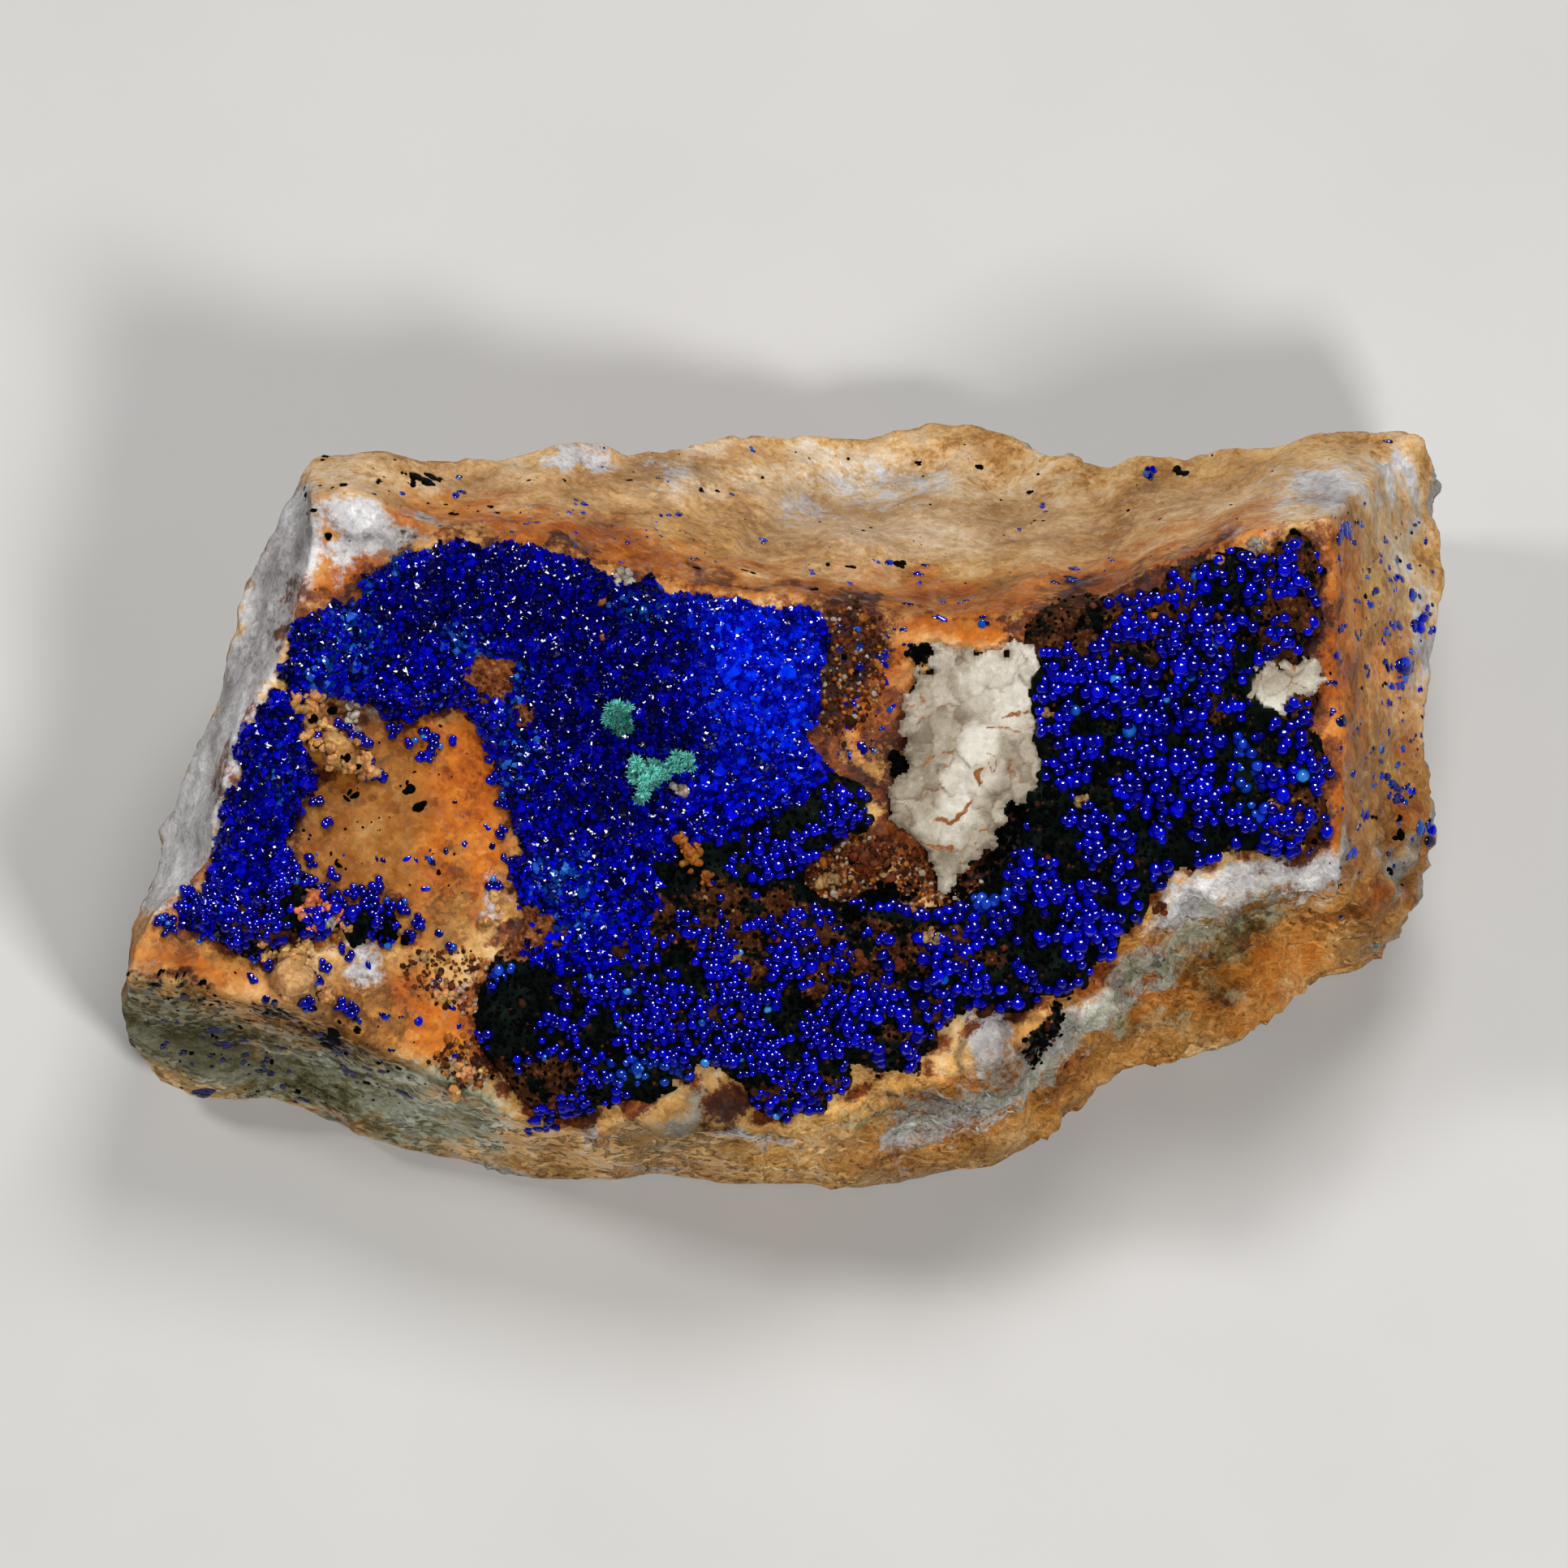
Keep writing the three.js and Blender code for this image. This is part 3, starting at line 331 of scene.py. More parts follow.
def roughen_stone(mesh):
    """Breaks up the stone's surface: chips and ripples, coarser where it is torn than where it split."""
    points = mesh_points(mesh)
    face = to_face(points)
    normals = mesh_points(mesh, "normal")
    facing = normals[:, 2] * math.cos(FACE_TILT) - normals[:, 1] * math.sin(FACE_TILT)
    masks = stone_masks(face, points, facing)
    place = points / MM
    away = distances(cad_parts["azurite_crust"].data, points)
    edge = np.clip(1.25 - away / (RIM_WIDTH * MM), 0, 1)
    masks["rust"] = np.maximum(masks["rust"], edge * np.clip(0.5 + 0.9 * waves(place, 1.1, 12), 0, 0.95))
    torn = masks["torn"]
    lift = 0.26 * waves(place, 4.5, 5) + 0.15 * waves(place, 1.9, 6)
    lift += (0.08 + 0.42 * torn) * (0.6 - 2.0 * np.abs(waves(place * (0.55, 1, 1), 1.9, 7)))
    lift += (0.04 + 0.05 * masks["glassy"] + 0.42 * torn) * chips(place, 1.5, 8)
    lift += (0.06 + 0.26 * torn) * (0.5 - 1.6 * np.abs(waves(place, 0.8, 9)))
    standing = np.clip(place[:, 2] / FOOT_HEIGHT, 0, 1)
    points += normals * ((lift - 0.1 - 0.2 * torn) * standing * MM)[:, None]
    points[:, 2] = np.maximum(points[:, 2], 0)
    set_points(mesh, points)
    paint(mesh, "quartz_stain", masks["white"], masks["orange"], masks["rust"])
    paint(mesh, "dark_stain", masks["black"], masks["olive"], masks["ochre"])
    paint(mesh, "break_kind", masks["torn"], masks["glassy"], masks["milky"])
    # The dusky mask darkens the stone's colour: painted shade on the olive side, darker stone elsewhere.
    paint(mesh, "darkening", masks["dusky"])


class Wiring:
    """A material's nodes, wired by short calls."""

    def __init__(self, name):
        self.material = bpy.data.materials.new(name)
        self.material.use_nodes = True
        self.tree = self.material.node_tree
        self.shader = self.tree.nodes["Principled BSDF"]
        self.place = self.add("ShaderNodeTexCoord").outputs["Object"]

    def add(self, kind, **settings):
        node = self.tree.nodes.new(kind)
        for name, value in settings.items():
            setattr(node, name, value)
        return node

    def join(self, source, target):
        self.tree.links.new(source, target)

    def noise(self, size, detail=4, roughness=0.6):
        """Noise with lumps of the given size in mm."""
        node = self.add("ShaderNodeTexNoise")
        node.inputs["Scale"].default_value = 1 / (size * MM)
        node.inputs["Detail"].default_value = detail
        node.inputs["Roughness"].default_value = roughness
        self.join(self.place, node.inputs["Vector"])
        return node.outputs["Fac"]

    def cells(self, size, output="Distance"):
        """Cells of the given size in mm: the distance in each, or a colour of its own."""
        node = self.add("ShaderNodeTexVoronoi")
        node.inputs["Scale"].default_value = 1 / (size * MM)
        self.join(self.place, node.inputs["Vector"])
        return node.outputs[output]

    def ramp(self, value, *stops):
        """A colour ramp over a value: each stop is a position and a colour."""
        node = self.add("ShaderNodeValToRGB")
        while len(node.color_ramp.elements) < len(stops):
            node.color_ramp.elements.new(1)
        for element, (position, colour) in zip(node.color_ramp.elements, stops):
            element.position = position
            element.color = (*colour, 1)
        self.join(value, node.inputs["Fac"])
        return node.outputs["Color"]

    def between(self, value, low, high, least=0, most=1):
        """A value remapped so that low and high give the least and the most, clipped."""
        node = self.add("ShaderNodeMapRange")
        for name, number in (("From Min", low), ("From Max", high), ("To Min", least), ("To Max", most)):
            node.inputs[name].default_value = number
        self.join(value, node.inputs["Value"])
        return node.outputs["Result"]

    def math(self, operation, first, second):
        node = self.add("ShaderNodeMath", operation=operation)
        for index, value in enumerate((first, second)):
            if isinstance(value, (int, float)):
                node.inputs[index].default_value = value
            else:
                self.join(value, node.inputs[index])
        return node.outputs[0]

    def vector(self, operation, first, second=None):
        node = self.add("ShaderNodeVectorMath", operation=operation)
        for index, value in enumerate((first, second)):
            if isinstance(value, tuple):
                node.inputs[index].default_value = value
            elif value is not None:
                self.join(value, node.inputs[index])
        return node.outputs[0]

    def facets(self, size, lean):
        """Flat grains of the given size in mm, each leaning its own way."""
        aside = self.vector("SUBTRACT", self.cells(size, "Color"), (0.5, 0.5, 0.5))
        aside = self.vector("MULTIPLY", aside, (lean, lean, lean))
        straight = self.add("ShaderNodeNewGeometry").outputs["Normal"]
        return self.vector("NORMALIZE", self.vector("ADD", straight, aside))

    def gloss(self, most):
        """How strongly a surface shines: most where it faces the eye, and less towards its rim."""
        facing = self.add("ShaderNodeLayerWeight").outputs["Facing"]
        return self.between(facing, 0.1, 0.35, most, 0.1 * most)

    def stir(self, coarse, fine):
        """Noise around 0 that frays the edges of painted masks."""
        jitter = self.math("MULTIPLY", self.math("SUBTRACT", coarse, 0.5), 1.6)
        grit = self.math("MULTIPLY", self.math("SUBTRACT", fine, 0.5), 0.8)
        return self.math("ADD", jitter, grit)

    def frayed(self, mask, stir, soft=0.1):
        """A painted mask with its edge broken up, crisp or soft."""
        return self.between(self.math("ADD", mask, stir), 0.5 - soft, 0.5 + soft)

    def blend(self, share, under, over, mode="MIX"):
        """Two colours mixed by a share, which may be a number or a socket."""
        node = self.add("ShaderNodeMix", data_type="RGBA", blend_type=mode, clamp_result=True)
        for socket, value in ((0, share), (6, under), (7, over)):
            if isinstance(value, (int, float)):
                node.inputs[socket].default_value = value
            elif isinstance(value, tuple):
                node.inputs[socket].default_value = (*value, 1)
            else:
                self.join(value, node.inputs[socket])
        return node.outputs[2]

    def split(self, colour):
        """A colour's three numbers."""
        node = self.add("ShaderNodeSeparateColor")
        self.join(colour, node.inputs[0])
        return node.outputs

    def masks(self, name):
        """The three masks that were painted on the mesh under a name."""
        return self.split(self.add("ShaderNodeAttribute", attribute_name=name).outputs["Color"])

    def sum(self, *terms):
        """The sum of values, each with its own weight."""
        total = 0.0
        for value, weight in terms:
            total = self.math("ADD", total, self.math("MULTIPLY", value, weight))
        return total

    def bump(self, height, depth, under=None):
        """Fine relief of the given depth in mm."""
        node = self.add("ShaderNodeBump")
        node.inputs["Distance"].default_value = depth * MM
        self.join(height, node.inputs["Height"])
        if under is not None:
            self.join(under, node.inputs["Normal"])
        return node.outputs["Normal"]

    def finished(self, inputs):
        """The material, each named input of its shader set to a number or colour or joined to a value."""
        for name, value in inputs.items():
            if isinstance(value, (int, float, tuple)):
                self.shader.inputs[name].default_value = value
            else:
                self.join(value, self.shader.inputs[name])
        return self.material


# Each colour of the stone, as a ramp from its darkest to its lightest.
TAN = [
    (0.26, (0.30, 0.13, 0.03)), (0.42, (0.52, 0.28, 0.085)), (0.52, (0.64, 0.38, 0.14)),
    (0.62, (0.70, 0.47, 0.23)), (0.76, (0.76, 0.64, 0.48)),
]
OCHRES = [
    (0.26, (0.12, 0.042, 0.009)), (0.40, (0.32, 0.13, 0.024)), (0.52, (0.50, 0.215, 0.045)),
    (0.64, (0.60, 0.32, 0.095)), (0.78, (0.68, 0.48, 0.26)),
]
MILKS = [
    (0.26, (0.50, 0.30, 0.13)), (0.42, (0.62, 0.46, 0.28)), (0.54, (0.70, 0.58, 0.44)),
    (0.72, (0.84, 0.78, 0.72)),
]
GREYS = [
    (0.26, (0.26, 0.235, 0.23)), (0.42, (0.46, 0.43, 0.43)), (0.56, (0.62, 0.60, 0.60)),
    (0.74, (0.88, 0.87, 0.86)),
]
AMBERS = [
    (0.26, (0.18, 0.030, 0.003)), (0.44, (0.42, 0.10, 0.007)), (0.58, (0.56, 0.165, 0.013)),
    (0.76, (0.68, 0.33, 0.07)),
]
RUSTS = [
    (0.28, (0.018, 0.005, 0.003)), (0.44, (0.075, 0.018, 0.007)), (0.56, (0.22, 0.055, 0.012)),
    (0.68, (0.42, 0.14, 0.03)), (0.80, (0.60, 0.38, 0.20)),
]
KHAKIS = [
    (0.26, (0.05, 0.042, 0.012)), (0.40, (0.17, 0.155, 0.07)), (0.52, (0.32, 0.315, 0.21)),
    (0.64, (0.42, 0.43, 0.33)), (0.78, (0.62, 0.63, 0.55)),
]
SOOTS = [(0.35, (0.001, 0.0012, 0.001)), (0.6, (0.004, 0.0045, 0.004)), (0.8, (0.03, 0.012, 0.006))]


def stone_finish():
    """Stained vein quartz, granular, with painted patches whose edges noise frays, painted shade on the
    olive side and painted light on the torn ledge.
    """
    work = Wiring("stained vein quartz")
    white, orange, rust = work.masks("quartz_stain")
    black, olive, ochre = work.masks("dark_stain")
    torn, glassy, milky = work.masks("break_kind")
    dusky, _, _ = work.masks("darkening")
    cloud = work.noise(3.6, 3, 0.55)
    mottle = work.noise(1.2, 8, 0.66)
    fine = work.noise(0.3, 6, 0.75)
    stir = work.stir(mottle, fine)
    grain, own, _ = work.split(work.cells(0.45, "Color"))
    sugar, _, _ = work.split(work.cells(0.19, "Color"))
    value = work.sum(
        (cloud, 0.85), (mottle, 0.55), (fine, 0.34), (grain, 0.12), (sugar, 0.12), (1.0, -0.53)
    )
    colour = work.ramp(value, *TAN)
    for mask, soft, stops in (
        (milky, 0.5, MILKS), (ochre, 0.35, OCHRES), (orange, 0.3, AMBERS), (white, 0.14, GREYS),
        (olive, 0.25, KHAKIS), (rust, 0.12, RUSTS), (black, 0.08, SOOTS),
    ):
        colour = work.blend(work.frayed(mask, stir, soft), colour, work.ramp(value, *stops))
    # Darker where the dusky mask lies: painted shade on the olive side at the front left, which faces
    # down, and darker stone elsewhere.
    darkened = work.blend(1.0, colour, (0.34, 0.31, 0.23), "MULTIPLY")
    colour = work.blend(work.frayed(dusky, stir, 0.45), colour, darkened)
    # Painted light: the torn ledge faces down and lies in shade, so its colour is lightened there, less
    # where it is white.
    torn_painted_light = work.math("MULTIPLY", torn, work.math("SUBTRACT", 1.0, work.math("MULTIPLY", white, 0.9)))
    colour = work.blend(torn_painted_light, colour, work.blend(1.0, colour, (1.46, 1.38, 1.2), "MULTIPLY"))
    dull = work.between(own, 0.0, 0.5, 0.22, 0.75)
    rough = work.between(torn, 0, 1, 0.3, 0.65)
    grains = work.blend(torn, work.facets(0.3, 0.34), work.facets(0.5, 0.7))
    relief = work.bump(work.math("MULTIPLY", mottle, rough), 0.34, work.vector("NORMALIZE", grains))
    return work.finished({
        "Base Color": colour,
        "Roughness": work.math("SUBTRACT", dull, work.math("MULTIPLY", glassy, 0.3)),
        "Normal": work.bump(work.math("MULTIPLY", fine, rough), 0.13, relief),
        "Specular IOR Level": work.between(glassy, 0, 1, 0.34, 0.62),
        "Subsurface Weight": 0.14,
        "Subsurface Radius": (1.2, 0.8, 0.5),
        "Subsurface Scale": 0.4 * MM,
    })


stone_mesh = remeshed(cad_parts["matrix_rock"].data.copy(), STONE_CELL, STONE_SMOOTHING)
one_underside(stone_mesh)
roughen_stone(stone_mesh)
set_smooth(stone_mesh, True)
show("quartz_block", stone_mesh, stone_finish(), "matrix", "matrix_rock")


# The crust of azurite
# Azurite and black and brown iron oxide grew over the broken face as one lumpy sheet. It is a druse
# of pointed blue crystals at the left and dark ground that carries round blue grains elsewhere.
SHEET_CELL = 0.17  # size of the sheet's facets, in mm like every named size from here on
SHEET_DEPTH = 0.75  # how far the sheet stands above the stone
SHEET_SLOPE = 1.3  # width of its sloping margin
SHEET_SINK = 0.4  # how far its edge is sunk in the stone
SHEET_FOOT = 0.8  # how far its underside lies in the stone
RAY_START = 40  # how far out of the face the search for a surface starts
CRUST_FRAY = 0.5  # how far the edges of the crust's areas wander
CRUST_SEED = 22

# The part of the face that the crust may cover.
FACE_LEFT, FACE_RIGHT, FACE_FRONT, FACE_BACK = -30.0, 27.0, -17.5, 13.5

# Areas of the crust, in the same form as the patches of the stone.
DRUSE = [
    (-11.5, 6.4, 12.0, 5.5, -8, 1), (-1.3, 4.2, 4.0, 5.1, 0, 1), (-9.0, 0.2, 4.7, 4.4, 0, 1),
    (-24.3, 0.2, 3.1, 6.9, -22, 1), (-9.3, -4.9, 3.3, 3.3, 0, 1), (-3.0, -0.7, 2.9, 2.2, 0, 0.55),
    (-17.7, 8.2, 4.0, 2.6, 25, 1),
]
DEEP_BLUE = [
    (-10.1, 8.2, 6.2, 2.6, -12, 1), (-8.2, 3.1, 3.6, 4.4, 0, 1), (-14.8, 8.2, 4.0, 2.2, 0, 1),
    (-17.0, 5.0, 2.2, 2.2, 0, 0.5), (-9.0, -0.9, 3.3, 2.2, 0, 0.6), (-24.3, 0.2, 3.1, 6.9, -22, 0.5),
]
SKY_BLUE = [
    (-19.5, 6.4, 1.2, 1.4, 0, 0.4), (-20.8, 4.7, 0.7, 1.4, 0, 0.5), (-13.7, 5.9, 1.4, 0.5, -35, 0.6),
    (-9.9, -4.3, 1.0, 0.9, 0, 0.7), (-6.6, 7.9, 1.0, 0.5, 0, 0.6), (-18.1, 9.3, 2.2, 0.4, 28, 0.6),
    (-11.9, 1.3, 0.7, 1.1, 0, 0.6), (-13.3, -7.6, 0.9, 0.7, 0, 0.8), (-15.3, -7.2, 0.4, 0.7, 0, 0.7),
    (-12.6, 3.9, 0.6, 1.5, -30, 0.5), (-6.0, -13.4, 1.1, 0.6, -20, 0.9), (20.9, 0.2, 0.3, 1.1, 10, 0.8),
    (-22.8, 0.4, 0.5, 0.9, 0, 0.5), (8.7, -4.7, 0.7, 0.3, 0, 0.8), (-9.7, -6.2, 1.5, 0.4, 0, 0.5),
]
BRIGHT_BLUE = [
    (-1.9, 6.2, 1.2, 1.8, 0, 1), (-1.0, 3.6, 1.7, 1.8, 0, 0.7), (0.5, 5.0, 0.6, 1.6, 0, 0.7),
    (-2.6, 7.6, 1.2, 0.4, -10, 0.6), (-0.9, 0.8, 1.4, 0.8, 0, 0.3),
]
BARE_RUST = [
    (-13.2, 4.7, 1.2, 1.0, 0, 1), (-11.9, 3.0, 0.5, 0.7, 0, 0.8), (-11.9, -6.7, 2.0, 1.1, 0, 0.9),
    (-26.1, -2.3, 0.5, 0.6, 0, 0.8), (-19.5, 3.1, 1.1, 0.7, 0, 0.4),
]
BROWN_GROUND = [
    (14.0, 8.2, 4.4, 2.2, 20, 1), (23.3, 7.1, 1.6, 4.4, 0, 1), (18.0, 6.4, 4.4, 1.5, 10, 0.5),
    (23.1, -1.2, 1.3, 1.8, 0, 1), (-2.4, -6.0, 4.4, 1.5, 0, 0.9), (3.1, -7.8, 5.8, 1.6, 0, 0.8),
    (1.2, -13.8, 2.6, 0.7, 0, 0.7), (-4.6, -10.5, 2.2, 0.9, 0, 0.6), (-11.1, -13.6, 2.6, 1.1, 0, 0.8),
    (6.0, -10.7, 2.2, 1.1, 0, 0.6), (18.7, 3.5, 2.2, 1.1, 0, 0.5), (-24.6, -6.7, 2.9, 1.1, -15, 0.8),
]
FEW_GRAINS = [
    (-11.5, -9.7, 1.9, 1.6, 0, 0.4), (-4.2, -4.2, 2.0, 1.6, 0, 0.45), (-0.2, -5.2, 3.0, 0.9, 0, 0.3),
    (3.4, -6.7, 2.2, 1.1, 0, 0.2), (12.4, 7.6, 1.8, 1.1, 0, 0.8), (4.2, -4.5, 2.2, 1.1, 0, 0.5),
    (12.2, -2.3, 1.2, 1.5, 0, 0.25), (15.4, -5.2, 1.0, 1.3, 0, 0.25), (-11.5, -13.3, 1.8, 0.9, 0, 0.6),
    (10.7, -8.5, 1.1, 2.2, 0, 0.3),
]
BESIDE_CLUSTERS = [
    (12.4, 2.0, 1.6, 4.8, -8, 1), (21.9, 4.2, 2.0, 2.4, 0, 1), (9.8, -5.4, 2.2, 1.2, 30, 1),
    (13.0, 7.0, 2.2, 1.4, 20, 1), (7.6, -6.4, 1.6, 0.9, 0, 1),
]


def face_tree(*meshes):
    """The faces of meshes in the face's own directions and in mm, for finding heights on them."""
    points, faces = [], []
    for mesh in meshes:
        first = len(points)
        points.extend(Vector(point) for point in to_face(mesh_points(mesh)))
        faces.extend([first + vertex for vertex in polygon.vertices] for polygon in mesh.polygons)
    return BVHTree.FromPolygons(points, faces)


def struck(tree, across, up):
    """The point of a tree's surface under each place on the face and which way it faces, or None."""
    down = Vector((0, 0, -1))
    return [tree.ray_cast(Vector((a, b, RAY_START)), down)[:2] for a, b in zip(across, up)]


def heights(tree, across, up):
    """How far out of the face a tree's surface lies at places on it, or nan where there is none."""
    points = [point for point, _ in struck(tree, across.flat, up.flat)]
    out = [math.nan if point is None else point.z for point in points]
    return np.array(out).reshape(across.shape)


def level_places(across, up):
    """Places on the face, with nothing for how far out they lie."""
    return np.stack([across.ravel(), up.ravel(), np.zeros(across.size)], axis=1)


def shrunk(inside):
    """A grid's inside cells without those at its edge."""
    kept = inside.copy()
    kept[1:-1, 1:-1] &= inside[:-2, 1:-1] & inside[2:, 1:-1] & inside[1:-1, :-2] & inside[1:-1, 2:]
    kept[[0, -1]] = False
    kept[:, [0, -1]] = False
    return kept


def margins(inside, cell, width):
    """How far a grid's inside cells lie from its edge, up to a width."""
    margin = np.zeros(inside.shape)
    layer = inside
    for _ in range(round(width / cell)):
        margin += layer * cell
        layer = shrunk(layer)
    return margin


def crust_masks(places):
    """What grows at places on the crust: each mask is 0 to 1."""
    moved = stirred(places * (1, 1, 0), CRUST_FRAY, CRUST_SEED)
    masks = {}
    for name, patches, fade in (
        ("druse", DRUSE, 0.8), ("deep", DEEP_BLUE, 2.0), ("sky", SKY_BLUE, 0.8),
        ("bright", BRIGHT_BLUE, 1.4), ("bare", BARE_RUST, 0.4), ("brown", BROWN_GROUND, 0.8),
        ("few", FEW_GRAINS, 0.8),
    ):
        masks[name] = patch_mask(moved, patches, fade)
    masks["druse"] = np.clip((masks["druse"] - 0.4) * 4, 0, 1) * (1 - masks["bare"])
    masks["bright"] *= np.clip(0.8 + 0.6 * waves(moved, 1.1, 27), 0, 1)
    masks["brown"] *= np.clip(0.75 + 0.8 * waves(moved, 0.9, 28), 0, 1)
    return masks


def evened(grid, times):
    """A grid with each value averaged with its neighbours, some times over."""
    for _ in range(times):
        wide = np.pad(grid, 1, mode="edge")
        near = wide[:-2, 1:-1] + wide[2:, 1:-1] + wide[1:-1, :-2] + wide[1:-1, 2:]
        grid = (near + 2 * grid) / 6
    return grid


def solid_sheet(name, top, foot, inside):
    """A closed sheet over a grid's inside cells, from rows of points at its top and at its foot."""
    number = -np.ones(inside.shape, dtype=int)
    number[inside] = np.arange(inside.sum())
    corners = [number[:-1, :-1], number[1:, :-1], number[1:, 1:], number[:-1, 1:]]
    whole = np.all([corner >= 0 for corner in corners], axis=0)
    quads = np.stack([corner[whole] for corner in corners], axis=1)
    count = inside.sum()
    sides = np.concatenate([quads[:, [i, (i + 1) % 4]] for i in range(4)])
    seen = set(map(tuple, sides))
    rim = np.array([side for side in seen if side[::-1] not in seen])
    walls = np.stack([rim[:, 1], rim[:, 0], rim[:, 0] + count, rim[:, 1] + count], axis=1)
    points = np.concatenate([top[inside], foot[inside]])
    faces = np.concatenate([quads, quads[:, ::-1] + count, walls])
    used = np.unique(faces)
    renumbered = -np.ones(len(points), dtype=int)
    renumbered[used] = np.arange(len(used))
    mesh = bpy.data.meshes.new(name)
    mesh.from_pydata(from_face(points[used]).tolist(), [], renumbered[faces].tolist())
    set_smooth(mesh, True)
    return mesh, used


def lay_crust():
    """The sheet that covers the broken face, and the heights of its surface over a grid."""
    across = np.arange(FACE_LEFT, FACE_RIGHT, SHEET_CELL)
    up = np.arange(FACE_FRONT, FACE_BACK, SHEET_CELL)
    grid_across, grid_up = np.meshgrid(across, up, indexing="ij")
    flat = level_places(grid_across, grid_up)
    ragged = 0.55 * waves(flat, 1.3, 20) + 0.4 * waves(flat, 0.6, 21)
    ragged = ragged.reshape(grid_across.shape)
    block = heights(face_tree(stone_mesh), grid_across, grid_up)
    crust = face_tree(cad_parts["azurite_crust"].data)
    covered = heights(crust, grid_across + ragged, grid_up - ragged)
    solids = [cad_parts["quartz_cluster_" + side].data for side in ("centre", "right")]
    clusters = face_tree(*solids)
    bare = ~np.isnan(heights(clusters, grid_across, grid_up))
    beside = patch_mask(flat, BESIDE_CLUSTERS, 0.5).reshape(bare.shape) > 0.5
    inside = (~np.isnan(covered) | bare | beside) & ~np.isnan(block)
    margin = margins(inside, SHEET_CELL, SHEET_SLOPE)
    masks = {name: mask.reshape(inside.shape) for name, mask in crust_masks(flat).items()}
    swell = waves(flat, 2.2, 24).reshape(inside.shape)
    lumps = np.abs(waves(flat, 1.1, 25)).reshape(inside.shape)
    pimples = np.abs(waves(flat, 0.5, 26)).reshape(inside.shape)
    inside &= ~shrunk(shrunk(shrunk(bare)))
    share = evened(np.clip(margin / SHEET_SLOPE, 0, 1), 5)
    rise = -SHEET_SINK + (SHEET_DEPTH + SHEET_SINK) * (1 - (1 - share) ** 2)
    rise += share * (0.22 * swell + 0.55 * lumps - 0.15 + (0.45 - 0.3 * masks["druse"]) * pimples)
    rise -= share * 0.35 * masks["bare"]
    height = block + rise
    top = np.stack([grid_across, grid_up, height], axis=-1)
    foot = np.stack([grid_across, grid_up, block - SHEET_FOOT], axis=-1)
    mesh, used = solid_sheet("crust", top, foot, inside)
    masks = {name: np.tile(mask[inside], 2)[used] for name, mask in masks.items()}
    paint(mesh, "blue_kind", masks["sky"], masks["bright"], masks["deep"])
    paint(mesh, "ground_kind", masks["druse"], masks["brown"], masks["bare"])
    height[~inside] = np.nan
    return mesh, height, share * ~bare


def on_crust(grid, across, up):
    """A grid's value at places between its points."""
    x = (across - FACE_LEFT) / SHEET_CELL
    y = (up - FACE_FRONT) / SHEET_CELL
    i, j = x.astype(int), y.astype(int)
    x, y = x - i, y - j
    near = grid[i, j] * (1 - y) + grid[i, j + 1] * y
    far = grid[i + 1, j] * (1 - y) + grid[i + 1, j + 1] * y
    return near * (1 - x) + far * x


# The blues of azurite and the colours of the ground between its grains, as ramps like the stone's.
ROYAL = [(0.2, (0.0, 0.0, 0.02)), (0.6, (0.0, 0.0, 0.24)), (0.9, (0.0, 0.002, 0.56))]
NAVY = [(0.2, (0.0, 0.0, 0.02)), (0.6, (0.0, 0.0, 0.10)), (0.95, (0.0, 0.0, 0.30))]
VIVID = [(0.2, (0.0, 0.0, 0.40)), (0.7, (0.0, 0.018, 0.98)), (0.95, (0.0, 0.07, 1.0))]
PALE = [(0.2, (0.0, 0.018, 0.20)), (0.6, (0.004, 0.09, 0.46)), (0.9, (0.06, 0.30, 0.62))]
GROUND_SOOT = [
    (0.3, (0.001, 0.0012, 0.001)), (0.55, (0.003, 0.005, 0.004)), (0.8, (0.012, 0.018, 0.013)),
]
GROUND_BROWN = [
    (0.25, (0.010, 0.003, 0.002)), (0.55, (0.055, 0.018, 0.006)), (0.85, (0.26, 0.12, 0.045)),
]
GROUND_RUST = [(0.25, (0.03, 0.007, 0.003)), (0.5, (0.15, 0.045, 0.014)), (0.75, (0.36, 0.17, 0.07))]


def azurite_colour(work, deep, sky, bright, vary):
    """Azurite's blue from the masks of its kind, uneven by the value that is given to vary it."""
    colour = work.ramp(vary, *ROYAL)
    for share, stops in ((deep, NAVY), (bright, VIVID), (sky, PALE)):
        colour = work.blend(share, colour, work.ramp(vary, *stops))
    return colour


def crust_finish():
    """The sheet: blue under the druse, and black, brown or rust where it shows between grains."""
    work = Wiring("azurite crust")
    sky, bright, deep = work.masks("blue_kind")
    druse, brown, bare = work.masks("ground_kind")
    fine = work.noise(0.3, 5, 0.65)
    broad = work.noise(1.3, 5, 0.6)
    stir = work.stir(broad, fine)
    ground = work.ramp(broad, *GROUND_SOOT)
    for mask, stops in ((brown, GROUND_BROWN), (bare, GROUND_RUST)):
        ground = work.blend(work.frayed(mask, stir), ground, work.ramp(fine, *stops))
    blue = azurite_colour(work, deep, sky, bright, fine)
    return work.finished({
        "Base Color": work.blend(work.frayed(druse, stir), ground, blue),
        "Roughness": 0.6,
        "Specular IOR Level": 0.03,
        "Normal": work.bump(fine, 0.05, work.bump(work.cells(0.22), 0.06)),
    })


crust_mesh, crust_height, crust_share = lay_crust()
show("azurite_sheet", crust_mesh, crust_finish(), "azurite", "azurite_crust")


